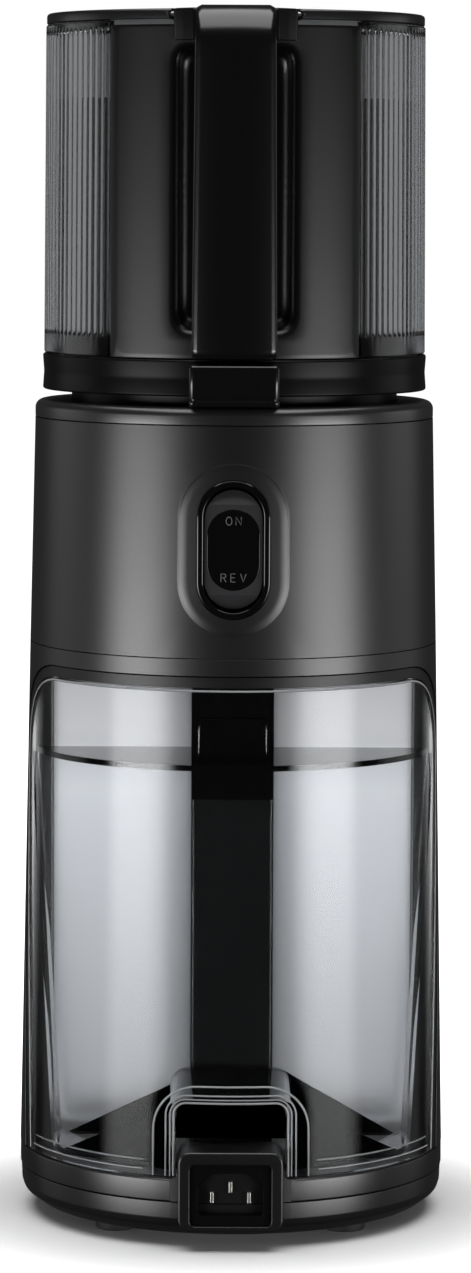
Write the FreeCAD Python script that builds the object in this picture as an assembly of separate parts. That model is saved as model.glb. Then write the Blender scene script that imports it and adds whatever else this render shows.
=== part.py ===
import FreeCAD, Part
import os
import math

V = FreeCAD.Vector
UP = V(0, 0, 1)
RIGHT = V(1, 0, 0)

# Cold press juicer, rear side towards -Y, standing on its feet at z = 0. All sizes in mm.

# Running and seating clearances
seam = 0.3
slip = 0.3
pin_play = 0.05

# Body of revolution: radius at the foot, at the flat seam and at the top seam
body_foot_z = 27.0
body_foot_r = 82.8
lower_draft = 3.8
upper_draft = 1.95
flat_seam_z = 223.4
flat_seam_r = body_foot_r - lower_draft
upper_skin_h = 87.1
top_seam_z = flat_seam_z + upper_skin_h
top_seam_r = flat_seam_r - upper_draft
shell_wall = 2.8
skin_wall = 2.5

# Base
foot_height = 4.5
foot_r = 8.0
foot_recess = 1.5
base_edge_z = 11.0
base_ring_step = 0.1
base_rim_step = 0.3
base_edge_step = 0.4
base_flat_step = 7.0
base_ring_r = body_foot_r - base_ring_step
base_rim_r = base_ring_r - base_rim_step
base_edge_r = base_rim_r - base_edge_step
base_flat_r = base_edge_r - base_flat_step
foot_inset = 13.0
foot_circle_r = base_flat_r - foot_inset
base_toe = 2.0
base_lift = 3.4
base_seam_z = 18.0
deck_gap = 0.4
base_ring_top = body_foot_z - deck_gap
base_wall = 2.6
screw_head_r = 3.0
screw_head_h = 2.0
screw_shank_r = 1.5
screw_length = 12.0
base_screw_inset = 15.0
base_screw_circle_r = base_flat_r - base_screw_inset

# Arched windows: outline in the tangent plane of each upper corner
window_drop = 10.9
window_top_z = flat_seam_z - window_drop
corner_angle = 58.9
corner_r = 35.0
corner_z = window_top_z - corner_r
window_foot_t = 18.1
trim_width = 4.5
trim_recess = 0.6
trim_wall = 2.7

# Inner frame
ceiling_gap = 0.8
ceiling_under = window_top_z + ceiling_gap
ceiling_thick = 4.0
divider_thick = 6.0
column_width = 32.0
column_depth = 28.0
pillar_inset = 9.0
pillar_inner_x = flat_seam_r - pillar_inset
pillar_depth = 26.0

# Pulp container and juice jug
front_gap = 0.4
skin_recess = 0.5
cup_lift = 2.9
cup_floor_z = base_ring_top + cup_lift
cup_floor = 3.0
cup_wall = 2.2
cup_drop = 31.5
cup_rim_z = window_top_z - cup_drop
cup_gap = 2.6
cup_inner_y = column_depth / 2 + cup_gap
cup_inset_top = 2.6
cup_inset_foot = 14.8
cup_half_top = flat_seam_r - cup_inset_top
cup_half_foot = body_foot_r - cup_inset_foot
notch_half = 21.5
notch_top_z = 55.0
notch_round = 12.0
notch_flare = 3.0
spout_rise = 7.6
spout_reach = flat_seam_r + spout_rise
spout_r = 15.0
spout_foot_r = 5.0
spout_drop = 24.0

# Chute in the container's cover
chute_half = 15.5
chute_far_y = 58.0
chute_near_y = 34.0
chute_drop = 13.0
chute_foot_z = cup_rim_z - chute_drop
chute_wall = 2.0
cover_thick = 2.2
cover_inset = 1.2

# Ducts through the body
duct_wall = 1.6
duct_half = 13.0
duct_far_y = 55.5
duct_near_y = 37.5
juice_duct_y = 52.0
juice_duct_r = 8.0

# Drive
motor_r = 33.0
motor_h = 61.7
motor_top = ceiling_under + ceiling_thick + motor_h
motor_cap_h = 8.0
gear_case_r = 34.5
gear_case_h = 24.0
gear_case_top = motor_top + gear_case_h
gear_case_lug_r = 4.5
lug_step = 4.0
gear_case_lug_circle = gear_case_r + lug_step
bearing_r = 11.0
bearing_h = 5.5
shaft_r = 5.0
shaft_seat = 5.0
shaft_foot = motor_top + shaft_seat
hex_flats = 10.0
hex_rise = 5.5
hex_length = 21.0
hex_foot = top_seam_z + hex_rise
hex_top = hex_foot + hex_length
seal_r = 9.0
board_x = 45.0
board_thick = 1.6
board_half = 25.0
board_height = 64.0

# Top cover and drum
top_cover_h = 6.5
top_cover_z = top_seam_z + top_cover_h
shoulder_r = 3.6
cover_plate = 3.2
neck_floor = 3.0
drum_gap = 4.0
drum_ring_h = 13.7
drum_ring_inset = 2.85
drum_ring_foot = top_cover_z + drum_gap
drum_ring_top = drum_ring_foot + drum_ring_h
drum_ring_r = top_seam_r - drum_ring_inset
neck_inset = 11.2
neck_r = drum_ring_r - neck_inset
neck_wall = 2.8
drum_waist = 0.5
drum_inner_r = neck_r - neck_wall
drum_hole_r = 8.0
seal_lip_r = 10.5
seal_lip = 1.6
bowl_inset = 7.7
bowl_r = drum_ring_r - bowl_inset
bowl_wall = 2.0
bowl_h = 97.3
bowl_top_z = drum_ring_top + bowl_h

# Strainer and screw
strainer_rise = 1.0
strainer_h = 86.0
strainer_rim = 2.4
strainer_foot_z = drum_ring_foot + strainer_rise
strainer_top_z = strainer_foot_z + strainer_h
strainer_foot_r = 40.0
strainer_top_r = 43.0
strainer_wall = 1.6
strainer_slots = 24
slot_width = 2.4
slot_gap = 12.0
screw_rise = 2.0
screw_h = 76.0
screw_foot_z = strainer_foot_z + screw_rise
screw_top_z = screw_foot_z + screw_h
core_foot_r = 23.0
core_top_r = 9.0
flight_gap = 3.0
flight_r = strainer_foot_r - flight_gap
flight_pitch = 46.0
flight_thick = 3.6
flight_count = 2
hub_r = 10.0
socket_gap = 5.0
socket_top = hex_top + socket_gap

# Fluted hopper
hopper_h = 125.2
hopper_inset = 0.55
hopper_draft = 0.75
hopper_foot_z = drum_ring_top + seam
hopper_top_z = hopper_foot_z + hopper_h
hopper_foot_r = drum_ring_r - hopper_inset
hopper_top_r = hopper_foot_r - hopper_draft
hopper_wall = 2.6
hopper_band_h = 7.8
hopper_rim_h = 2.6
flute_foot_z = hopper_foot_z + hopper_band_h
flute_top_z = hopper_top_z - hopper_rim_h
flute_pitch_deg = 2.56
flute_depth = 0.55
panel_angle = 40.0
panel_gap = 0.35

# Rear panel with finger pocket
panel_inset = 0.35
panel_r = hopper_foot_r - panel_inset
panel_wall = 2.6
panel_drop = 1.2
panel_top_z = hopper_top_z - panel_drop
pocket_half = 21.6
pocket_rise = 11.0
pocket_h = 104.0
pocket_depth = 21.3
pocket_foot_z = hopper_foot_z + pocket_rise
pocket_top_z = pocket_foot_z + pocket_h
pocket_floor_y = panel_r - pocket_depth
bowl_flat_gap = 0.5
pocket_wall = 2.0
bowl_flat_y = pocket_floor_y - pocket_wall - bowl_flat_gap
pocket_round = 5.0

# Handle strap, hinge shoulder and lower block
strap_reach = 17.2
strap_rise = 1.1
strap_outer_y = panel_r + strap_reach
strap_thick = 6.0
strap_half_top = 14.75
strap_half_foot = 15.75
strap_bend = 15.0
strap_foot_bend = 4.0
strap_chamfer = 1.0
block_half = 16.7
block_step = 0.5
block_drop = 1.3
block_h = 15.4
block_outer_y = strap_outer_y - block_step
block_top_z = drum_ring_top - block_drop
block_foot_z = block_top_z - block_h
block_round = 1.4
shoulder_half = 23.0
shoulder_flare = 5.5
shoulder_lap = 1.2
shoulder_reach = 4.7
shoulder_rear_y = panel_r + shoulder_reach
shoulder_drop = 2.5
shoulder_foot_z = pocket_top_z + shoulder_drop

# Lid and its hinge
lid_inset = 0.25
lid_thick = 3.9
lid_r = hopper_top_r - lid_inset
lid_foot_z = hopper_top_z + seam
lid_top_z = lid_foot_z + lid_thick
strap_top_z = lid_top_z + strap_rise
strap_foot_z = hopper_foot_z
lid_edge = 0.8
slot_gap_x = 0.6
lid_slot_half = shoulder_half + slot_gap_x
hinge_inset = 5.65
hinge_lift = 1.9
hinge_y = lid_r - hinge_inset
hinge_z = lid_foot_z + hinge_lift
hinge_front = 9.0
hinge_pin_r = 1.1
hinge_pin_half = 25.6
gasket_inset = 3.3
gasket_r = hopper_top_r - gasket_inset
gasket_wall = 2.4
gasket_height = 2.3
gasket_cut_y = bowl_flat_y - 1.5

# Switch: depths are measured inwards from the flat face of the boss
switch_rise = 40.9
switch_z = flat_seam_z + switch_rise
boss_r = 20.2
boss_half = 11.7
boss_proud = 0.4
bezel_r = 13.8
bezel_proud = 0.5
bezel_depth = 12.5
well_r = 11.3
well_half = 12.2
switch_depth = 19.9
rocker_depth = 8.5
rocker_gap = 0.55
rocker_r = well_r - rocker_gap
rocker_half = 11.5
rocker_face_depth = 1.1
rocker_thick = 4.0
rocker_slope = 2.4
rocker_inset_half = 5.4
rocker_inset = 0.8
rocker_inset_margin = 0.9
rib_half = 4.5
rib_height = 4.2
ear_gap = 0.5
ear_thick = 2.4
rocker_pin_r = 1.2

# Mains inlet
inlet_half = 19.8
inlet_top_z = 38.5
inlet_foot_z = 8.0
inlet_reach = 4.9
inlet_depth = 20.6
inlet_outer_y = base_ring_r + inlet_reach
inlet_inner_y = inlet_outer_y - inlet_depth
inlet_round = 4.5
inlet_sweep = 3.0
socket_half = 15.4
socket_foot_z = 10.2
socket_head_z = 33.8
socket_step = 1.2
mouth_half = 12.2
mouth_foot_z = 14.2
mouth_head_z = 30.4
mouth_chamfer = 5.0
mouth_depth = 15.0
blade_pitch = 14.0
blade_thick = 2.0
blade_tall = 4.0
blade_length = 13.0
blade_z = 20.6
earth_rise = 4.0


def body_r(z):
    """Outer radius of the body at height z: two straight tapers that meet at the flat seam."""
    if z < flat_seam_z:
        share = (z - body_foot_z) / (flat_seam_z - body_foot_z)
        return body_foot_r + (flat_seam_r - body_foot_r) * share
    share = (z - flat_seam_z) / (top_seam_z - flat_seam_z)
    return flat_seam_r + (top_seam_r - flat_seam_r) * share


boss_y = body_r(switch_z) + boss_proud
bezel_foot_y = boss_y - bezel_depth
switch_foot_y = boss_y - switch_depth
rocker_y = boss_y - rocker_depth
rocker_face_y = boss_y - rocker_face_depth
rocker_back_y = rocker_face_y - rocker_thick
reach = 2 * body_foot_r


def box(x0, x1, y0, y1, z0, z1):
    return Part.makeBox(x1 - x0, y1 - y0, z1 - z0, V(x0, y0, z0))


def rod(r, z0, z1, x=0.0, y=0.0):
    return Part.makeCylinder(r, z1 - z0, V(x, y, z0), UP)


def tube(r_out, r_in, z0, z1, x=0.0, y=0.0):
    return rod(r_out, z0, z1, x, y).cut(rod(r_in, z0, z1, x, y))


def turned(points):
    """Solid of revolution about Z from a closed outline of (radius, height) points."""
    wire = Part.makePolygon([V(r, 0, z) for r, z in points + points[:1]])
    return Part.Face(wire).revolve(V(0, 0, 0), UP, 360)


def tapered(z0, z1, inset):
    """Solid inside of the body's outer surface, inset by a wall, between two heights."""
    heights = [z0] + [z for z in (flat_seam_z,) if z0 < z < z1] + [z1]
    rim = [(body_r(z) - inset, z) for z in heights]
    return turned([(0.0, z0)] + rim + [(0.0, z1)])


def shell(z0, z1, outer_inset, wall):
    """Ring of the body's skin between two heights."""
    return tapered(z0, z1, outer_inset).cut(tapered(z0 - 1, z1 + 1, outer_inset + wall))


def prism_x(points, x0, x1):
    """Extrusion along X of a (y, z) outline."""
    wire = Part.makePolygon([V(x0, y, z) for y, z in points + points[:1]])
    return Part.Face(wire).extrude(V(x1 - x0, 0, 0))


def prism_y(points, y0, y1):
    """Extrusion along Y of an (x, z) outline."""
    wire = Part.makePolygon([V(x, y0, z) for x, z in points + points[:1]])
    return Part.Face(wire).extrude(V(0, y1 - y0, 0))


def prism_z(points, z0, z1):
    """Extrusion along Z of an (x, y) outline."""
    wire = Part.makePolygon([V(x, y, z0) for x, y in points + points[:1]])
    return Part.Face(wire).extrude(V(0, 0, z1 - z0))


def stadium(r, half, y_outer, y_inner, z):
    """Upright slot-shaped block on the rear side: two half circles of radius r, centres half above and below z."""
    depth = y_outer - y_inner
    ends = [Part.makeCylinder(r, depth, V(0, -y_outer, z + s * half), V(0, 1, 0)) for s in (-1, 1)]
    return ends[0].fuse(ends[1]).fuse(box(-r, r, -y_outer, -y_inner, z - half, z + half)).removeSplitter()


def rounded_box_y(half, y_outer, y_inner, z0, z1, r):
    """Block along Y on the rear side with its four long edges rounded."""
    block = box(-half, half, -y_outer, -y_inner, z0, z1)
    edges = [e for e in block.Edges if abs(e.Vertexes[0].Y - e.Vertexes[-1].Y) > 1e-6]
    return block.makeFillet(r, edges)


def join(parts):
    """One solid from touching or overlapping pieces."""
    return parts[0].fuse(parts[1:]).removeSplitter()


def group(parts):
    return Part.makeCompound(parts)


def around(count, shape, start=0.0):
    """Copies of a shape evenly about the vertical axis."""
    copies = []
    for k in range(count):
        copy = shape.copy()
        copy.rotate(V(0, 0, 0), UP, start + 360.0 * k / count)
        copies.append(copy)
    return copies


def both_sides(shape):
    return [shape, shape.mirror(V(0, 0, 0), RIGHT)]


def to_front(shape):
    return shape.mirror(V(0, 0, 0), V(0, 1, 0))


def window_cutter(offset):
    """Rear window: flat top, two round upper corners and slanting sides, grown by an offset all round."""
    low = body_foot_z - 8.0
    angle = math.radians(corner_angle)
    out = V(math.sin(angle), -math.cos(angle), 0)
    side = V(math.cos(angle), math.sin(angle), 0)
    wedge = prism_z([(0, 0), (-out.x * reach, out.y * reach), (0, -reach), (out.x * reach, out.y * reach)],
                    low, window_top_z + offset)
    round_corner = Part.makeCylinder(corner_r + offset, reach, V(0, 0, corner_z), out)

    # tangent from the foot of the side to the corner circle
    dz = corner_z - body_foot_z
    dist = math.hypot(window_foot_t, dz)
    slope = math.atan2(dz, -window_foot_t) - math.asin(corner_r / dist)
    normal = (math.sin(slope), -math.cos(slope))
    run = math.sqrt(dist * dist - corner_r * corner_r)
    foot = (window_foot_t + offset * normal[0], body_foot_z + offset * normal[1])
    head = (foot[0] + run * math.cos(slope), foot[1] + run * math.sin(slope))
    toe = (foot[0] - (foot[1] - low) / math.tan(slope), low)
    outline = [(-1.0, low), toe, head, (-1.0, head[1])]
    corners = [side * t + V(0, 0, z) for t, z in outline + outline[:1]]
    flank = Part.Face(Part.makePolygon(corners)).extrude(out * reach)

    half = join([round_corner, flank])
    return join([wedge] + both_sides(half))


def base_tub(inset, floor_z, top_z):
    """Volume of the lower base with its rounded-in lower edge."""
    return turned([(0, floor_z), (base_flat_r - inset, floor_z), (base_edge_r - base_toe - inset, base_edge_z - base_lift),
                   (base_edge_r - inset, base_edge_z), (base_rim_r - inset, top_z), (0, top_z)])


def base_cover():
    """Shallow tray of the base with a rounded-in lower edge, recesses for the feet and holes for the screws."""
    tray = base_tub(0, foot_height, base_seam_z - seam / 2)
    tray = tray.cut(base_tub(base_wall, foot_height + base_wall, base_seam_z))
    for hole in around(4, rod(foot_r, 0, foot_height + foot_recess, foot_circle_r), 45.0):
        tray = tray.cut(hole)
    head = rod(screw_head_r + slip, 0, foot_height + screw_head_h, base_screw_circle_r)
    shank = rod(screw_shank_r + slip, 0, base_seam_z, base_screw_circle_r)
    for hole in around(4, head.fuse(shank)):
        tray = tray.cut(hole)
    return tray.cut(inlet_space())


def base_ring():
    """Upper ring of the base with the deck that the containers stand on and the posts for the base screws."""
    ring = turned([(0, base_ring_top - base_wall), (base_ring_r - base_wall, base_ring_top - base_wall),
                   (base_ring_r - base_wall, base_seam_z + seam / 2), (base_ring_r, base_seam_z + seam / 2),
                   (base_ring_r, base_ring_top), (0, base_ring_top)])
    post = tube(screw_head_r + 0.6, screw_shank_r, foot_height + base_wall, base_ring_top - base_wall,
                base_screw_circle_r)
    return join([ring] + around(4, post)).cut(inlet_space())


def rubber_feet():
    return group(around(4, rod(foot_r, 0, foot_height + foot_recess, foot_circle_r), 45.0))


def base_screws():
    head = rod(screw_head_r, foot_height, foot_height + screw_head_h, base_screw_circle_r)
    shank = rod(screw_shank_r, foot_height, foot_height + screw_length, base_screw_circle_r)
    return group(around(4, join([head, shank])))


def inlet_space():
    """Cut in the base that takes the inlet housing and its swept-out root."""
    wide = inlet_half + inlet_sweep
    return box(-wide, wide, -inlet_outer_y - 5, -inlet_inner_y, foot_height + base_wall, base_ring_top + 1)


def inlet_housing():
    """Box for the mains inlet, with round top edges and a root that sweeps out into the base ring."""
    box_part = rounded_box_y(inlet_half, inlet_outer_y, inlet_inner_y, inlet_foot_z, inlet_top_z, inlet_round)
    wide = inlet_half + inlet_sweep
    root = box(-wide, wide, -base_ring_r, -inlet_inner_y, base_seam_z, base_ring_top + inlet_sweep)
    for s in (-1, 1):
        root = root.cut(Part.makeCylinder(inlet_sweep, reach, V(s * wide, -reach, base_ring_top + inlet_sweep), V(0, 1, 0)))
    skin = rod(base_ring_r, base_seam_z, base_ring_top + inlet_sweep)
    lower = box(-wide, wide, -base_ring_r, -inlet_inner_y, foot_height + base_wall, base_seam_z)
    lower = lower.common(base_tub(0, foot_height, base_seam_z))
    housing = join([box_part, root.common(skin), lower])
    cavity = rounded_box_y(socket_half, inlet_outer_y + 1, inlet_inner_y + base_wall, socket_foot_z, socket_head_z, 2.0)
    return housing.cut(cavity)


def inlet_socket():
    """Appliance inlet insert: rounded block with a chamfered three-pole mouth."""
    block = rounded_box_y(socket_half, inlet_outer_y - socket_step, inlet_inner_y + base_wall,
                          socket_foot_z, socket_head_z, 2.0)
    h, c = mouth_half, mouth_chamfer
    mouth = prism_y([(-h, mouth_foot_z), (h, mouth_foot_z), (h, mouth_head_z - c), (h - c, mouth_head_z),
                     (c - h, mouth_head_z), (-h, mouth_head_z - c)],
                    -inlet_outer_y, -inlet_outer_y + socket_step + mouth_depth)
    return block.cut(mouth)


def inlet_pins():
    root = inlet_outer_y - socket_step - mouth_depth
    blades = []
    for x, z in ((-blade_pitch / 2, blade_z), (0.0, blade_z + earth_rise), (blade_pitch / 2, blade_z)):
        blades.append(box(x - blade_thick / 2, x + blade_thick / 2, -root - blade_length, -root,
                          z - blade_tall / 2, z + blade_tall / 2))
    return group(blades)


def ceiling_plate():
    """Plate over the two bays, with the outlets for pulp and juice."""
    plate = tapered(ceiling_under, ceiling_under + ceiling_thick, trim_recess + trim_wall + seam)
    pulp = box(-duct_half, duct_half, -duct_far_y, -duct_near_y, ceiling_under - 1, ceiling_under + ceiling_thick + 1)
    juice = rod(juice_duct_r - duct_wall, ceiling_under - 1, ceiling_under + ceiling_thick + 1, 0, juice_duct_y)
    return plate.cut(pulp).cut(juice)


def divider():
    """Cross wall with a central column between the rear and the front bay."""
    wide = math.sqrt(body_r(base_ring_top) ** 2 - (divider_thick / 2) ** 2)
    wall = box(-wide, wide, -divider_thick / 2, divider_thick / 2, base_ring_top, ceiling_under)
    column = box(-column_width / 2, column_width / 2, -column_depth / 2, column_depth / 2,
                 base_ring_top, ceiling_under)
    clear = pillar_inner_x - seam
    middle = box(-clear, clear, -column_depth, column_depth, base_ring_top, ceiling_under)
    return join([wall.common(middle), column])


def pillars():
    """Side posts of the inner frame behind the skins, from the deck to the ceiling plate."""
    core = tapered(base_ring_top, ceiling_under, trim_recess + trim_wall + seam)
    block = box(pillar_inner_x, reach, -pillar_depth / 2, pillar_depth / 2, base_ring_top, ceiling_under)
    return group([core.common(part) for part in both_sides(block)])


def arch_trims():
    """Recessed black trim that frames the rear and the front window."""
    ring = shell(base_ring_top + seam, window_top_z + trim_width - seam, trim_recess, trim_wall)
    band = ring.common(window_cutter(trim_width - seam)).cut(window_cutter(0))
    return group([band, to_front(band)])


def lower_shell():
    """Lower skin: band under the flat seam and the side skins between the arched windows."""
    skin = shell(base_ring_top + seam, flat_seam_z, 0, shell_wall)
    opening = window_cutter(trim_width)
    return skin.cut(opening).cut(to_front(opening))


def body_shell():
    """Upper skin with the raised flat boss for the switch."""
    skin = shell(flat_seam_z + seam, top_seam_z - seam, 0, shell_wall)
    boss = stadium(boss_r, boss_half, boss_y, switch_foot_y, switch_z)
    inside = tapered(flat_seam_z, top_seam_z, shell_wall)
    well = stadium(bezel_r + pin_play, well_half, boss_y + 2, switch_foot_y - 2, switch_z)
    return join([skin, boss.cut(inside)]).cut(well)


def top_cover():
    """Cover of the body: rounded shoulder, round seat for the drum's neck, holes for shaft, pulp and juice."""
    r = top_seam_r
    arc = [(r - shoulder_r + shoulder_r * math.cos(a), top_cover_z - shoulder_r + shoulder_r * math.sin(a))
           for a in [math.radians(15 * k) for k in range(7)]]
    seat_z = top_seam_z + cover_plate
    seat_r = neck_r + slip
    plate = turned([(0, top_seam_z), (r, top_seam_z)] + arc + [(seat_r, top_cover_z), (seat_r, seat_z), (0, seat_z)])
    plate = plate.cut(rod(seal_r, top_seam_z - 1, seat_z + 1))
    plate = plate.cut(box(-duct_half, duct_half, -duct_far_y, -duct_near_y, top_seam_z - 1, seat_z + 1))
    return plate.cut(rod(juice_duct_r - duct_wall, top_seam_z - 1, seat_z + 1, 0, juice_duct_y))


def pulp_duct():
    """Square duct from the top cover to the rear bay."""
    outer = box(-duct_half - duct_wall, duct_half + duct_wall, -duct_far_y - duct_wall, -duct_near_y + duct_wall,
                ceiling_under + ceiling_thick, top_seam_z)
    return outer.cut(box(-duct_half, duct_half, -duct_far_y, -duct_near_y, ceiling_under, top_seam_z + 1))


def juice_duct():
    return tube(juice_duct_r, juice_duct_r - duct_wall, ceiling_under + ceiling_thick, top_seam_z, 0, juice_duct_y)


def switch_bezel():
    """Ring round the switch well, with a rounded outer edge."""
    ring = stadium(bezel_r, well_half, boss_y + bezel_proud, bezel_foot_y, switch_z)
    front = [e for e in ring.Edges if abs(e.BoundBox.YMin + boss_y + bezel_proud) < 1e-3
             and abs(e.BoundBox.YMax + boss_y + bezel_proud) < 1e-3]
    ring = ring.makeFillet(bezel_proud * 1.6, front)
    return ring.cut(stadium(well_r, well_half, boss_y + 3, bezel_foot_y - 1, switch_z))


def switch_body():
    """Closed switch block behind the bezel, with two ears that carry the rocker."""
    block = stadium(well_r + 1.2, well_half, bezel_foot_y, switch_foot_y, switch_z)
    inner = rib_half + ear_gap
    ear = box(inner, inner + ear_thick, -rocker_y - 2.4, -bezel_foot_y + 0.5, switch_z - 3.0, switch_z + 3.0)
    bore = Part.makeCylinder(rocker_pin_r + pin_play, 40, V(-20, -rocker_y, switch_z), RIGHT)
    return join([block] + both_sides(ear)).cut(bore)


def switch_rocker():
    """Rocker with sloping ends, a seat for its glossy face, a rib and the pivot pin."""
    tall = rocker_r + rocker_half
    flat = rocker_half + rocker_inset_half
    face, back = rocker_face_y, rocker_back_y
    side = [(-back, switch_z - tall), (-face + rocker_slope, switch_z - tall), (-face, switch_z - flat),
            (-face, switch_z + flat), (-face + rocker_slope, switch_z + tall), (-back, switch_z + tall)]
    pad = prism_x(side, -rocker_r, rocker_r).common(stadium(rocker_r, rocker_half, face + 1, back - 1, switch_z))
    seat = stadium(rocker_r - rocker_inset_margin, rocker_inset_half, face + 1, face - rocker_inset, switch_z)
    rib = box(-rib_half, rib_half, -back, -back + rib_height, switch_z - 4.0, switch_z + 4.0)
    pin_half = rib_half + ear_gap + ear_thick + 0.4
    pin = Part.makeCylinder(rocker_pin_r, 2 * pin_half, V(-pin_half, -rocker_y, switch_z), RIGHT)
    return join([pad, rib, pin]).cut(seat)


def rocker_face():
    """Glossy inlay of the rocker."""
    return stadium(rocker_r - rocker_inset_margin, rocker_inset_half, rocker_face_y + 0.2,
                   rocker_face_y - rocker_inset, switch_z)


def control_board():
    z0 = ceiling_under + ceiling_thick
    return box(board_x, board_x + board_thick, -board_half, board_half, z0, z0 + board_height)


def motor_can():
    """Motor with its end cap and cooling slots."""
    z0 = ceiling_under + ceiling_thick
    can = rod(motor_r, z0 + motor_cap_h, motor_top)
    cap = rod(motor_r - 2.0, z0, z0 + motor_cap_h)
    motor = join([can, cap])
    slot = box(motor_r - 4.0, motor_r + 1, -1.5, 1.5, z0 + motor_cap_h + 6, motor_top - 8)
    for cut in around(8, slot, 22.5):
        motor = motor.cut(cut)
    return motor


def gear_case():
    """Closed reduction gear case on the motor with four screw lugs."""
    case = rod(gear_case_r, motor_top, gear_case_top)
    lugs = around(4, rod(gear_case_lug_r, motor_top, motor_top + 6, gear_case_lug_circle), 45.0)
    case = join([case] + lugs)
    return case.cut(rod(shaft_r + slip, shaft_foot - slip, gear_case_top + 1))


def gear_screws():
    head = rod(screw_head_r, motor_top + 6, motor_top + 6 + screw_head_h, gear_case_lug_circle)
    return group(around(4, head, 45.0))


def shaft_bearing():
    return tube(bearing_r, shaft_r + pin_play, gear_case_top, gear_case_top + bearing_h)


def shaft_seal():
    return tube(seal_r, shaft_r + pin_play, top_seam_z, top_seam_z + cover_plate)


def hexagon(flats, z0, z1):
    r = flats / 2 / math.cos(math.radians(30))
    return prism_z([(r * math.cos(math.radians(60 * k)), r * math.sin(math.radians(60 * k))) for k in range(6)], z0, z1)


def output_shaft():
    return join([rod(shaft_r, shaft_foot, hex_foot), hexagon(hex_flats, hex_foot - 1, hex_top)])


def cup(half_gap, inset, floor_z, rim_z, depth_gap):
    """Tapered cup volume in the rear bay, between the bay's wall and the curved front."""
    points = [(-cup_half_foot + half_gap, cup_floor_z), (cup_half_foot - half_gap, cup_floor_z),
              (cup_half_top - half_gap, cup_rim_z), (-cup_half_top + half_gap, cup_rim_z)]
    walls = prism_y(points, -reach, -cup_inner_y - depth_gap)
    return walls.common(tapered(floor_z, rim_z, inset))


def curved_front():
    """Curved front of a container that fills the window with an even gap."""
    skin = shell(base_ring_top + 2 * seam, window_top_z - front_gap, skin_recess, skin_wall)
    return skin.common(window_cutter(-front_gap))


def open_cup():
    """Cup with its curved front in one piece, before the notch."""
    inset = skin_recess + skin_wall
    outer = cup(0, inset - 0.6, cup_floor_z, cup_rim_z, 0)
    inner = cup(cup_wall, inset, cup_floor_z + cup_floor, cup_rim_z + 1, cup_wall)
    return join([outer, curved_front()]).cut(inner)


def tunnel(grow, depth_gap):
    """Arched passage under the container, over the mains inlet."""
    half = notch_half + grow
    top = notch_top_z + grow
    block = rounded_box_y(half, reach, cup_inner_y + depth_gap - 6, -20, top, notch_round + grow)
    return block


def pulp_container():
    """Clear container with a passage under its floor for the inlet housing."""
    inset = skin_recess + skin_wall
    lining = tunnel(cup_wall, 0).common(cup(0, inset - 0.6, cup_floor_z, cup_rim_z, 0))
    flare = box(-notch_half - notch_flare, notch_half + notch_flare, -reach, 0, 0, base_ring_top + inlet_sweep + 1.5)
    return join([open_cup(), lining]).cut(tunnel(0, -12)).cut(flare)


def container_cover():
    """Black cover in the container's mouth with the square chute that drops the pulp."""
    half = cup_half_top - cover_inset
    plate = box(-half, half, -reach, -cup_inner_y - cover_inset, cup_rim_z, cup_rim_z + cover_thick)
    plate = plate.common(tapered(cup_rim_z, cup_rim_z + cover_thick, skin_recess + skin_wall + slip))
    top = window_top_z - front_gap
    outer = box(-chute_half, chute_half, -chute_far_y, -chute_near_y, chute_foot_z, top)
    inner = box(-chute_half + chute_wall, chute_half - chute_wall, -chute_far_y + chute_wall,
                -chute_near_y - chute_wall, chute_foot_z - 1, top + 1)
    return join([plate, outer]).cut(inner)


def juice_jug():
    """Clear jug that fills the front window, with a pouring lip at the top of its curved front."""
    top = window_top_z - front_gap
    axis_y = spout_reach - spout_r
    wall = skin_wall - skin_recess

    def spout(inset, above):
        cone = Part.makeCone(spout_foot_r - inset, spout_r - inset, spout_drop, V(0, axis_y, top - spout_drop), UP)
        return cone.fuse(rod(spout_r - inset, top, top + above, 0, axis_y)) if above else cone

    core = tapered(top - spout_drop - 1, top + 1, skin_recess + skin_wall)
    jug = join([to_front(open_cup()), spout(0, 0).cut(core)])
    return jug.cut(spout(wall, 1.0))


def drum():
    """Juicing drum: neck in the top cover, open floor with outlets, and the ring under the hopper."""
    floor_z = top_seam_z + cover_plate + seam
    mid = (drum_ring_foot + drum_ring_top) / 2
    outer = [(0, floor_z), (neck_r, floor_z), (neck_r, drum_ring_foot), (drum_ring_r - 0.8, drum_ring_foot),
             (drum_ring_r, drum_ring_foot + 0.8), (drum_ring_r - drum_waist, mid), (drum_ring_r, drum_ring_top - 0.8),
             (drum_ring_r - 0.8, drum_ring_top), (0, drum_ring_top)]
    inner = rod(drum_inner_r, floor_z + neck_floor, drum_ring_top + 1)
    body = turned(outer).cut(inner).cut(rod(drum_hole_r, floor_z - 1, floor_z + neck_floor + 1))
    body = body.cut(box(-duct_half, duct_half, -duct_far_y, -duct_near_y, floor_z - 1, floor_z + neck_floor + 1))
    return body.cut(rod(juice_duct_r - duct_wall, floor_z - 1, floor_z + neck_floor + 1, 0, juice_duct_y))


def bowl_wall_piece():
    """Inner wall of the bowl, D-shaped in plan: round at the front and flat behind the finger pocket."""
    keep = box(-reach, reach, -bowl_flat_y, reach, drum_ring_top, bowl_top_z)
    outer = rod(bowl_r, drum_ring_top, bowl_top_z).common(keep)
    hollow = box(-reach, reach, -bowl_flat_y + bowl_wall, reach, drum_ring_top - 1, bowl_top_z + 1)
    return outer.cut(rod(bowl_r - bowl_wall, drum_ring_top - 1, bowl_top_z + 1).common(hollow))


def drum_seal():
    floor_z = top_seam_z + cover_plate + seam
    inner = hex_flats / 2 / math.cos(math.radians(30)) + slip
    lip = tube(seal_lip_r, inner, floor_z + neck_floor, floor_z + neck_floor + seal_lip)
    return join([lip, tube(drum_hole_r, inner, floor_z + 0.2, floor_z + neck_floor + 1.0)])


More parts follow.
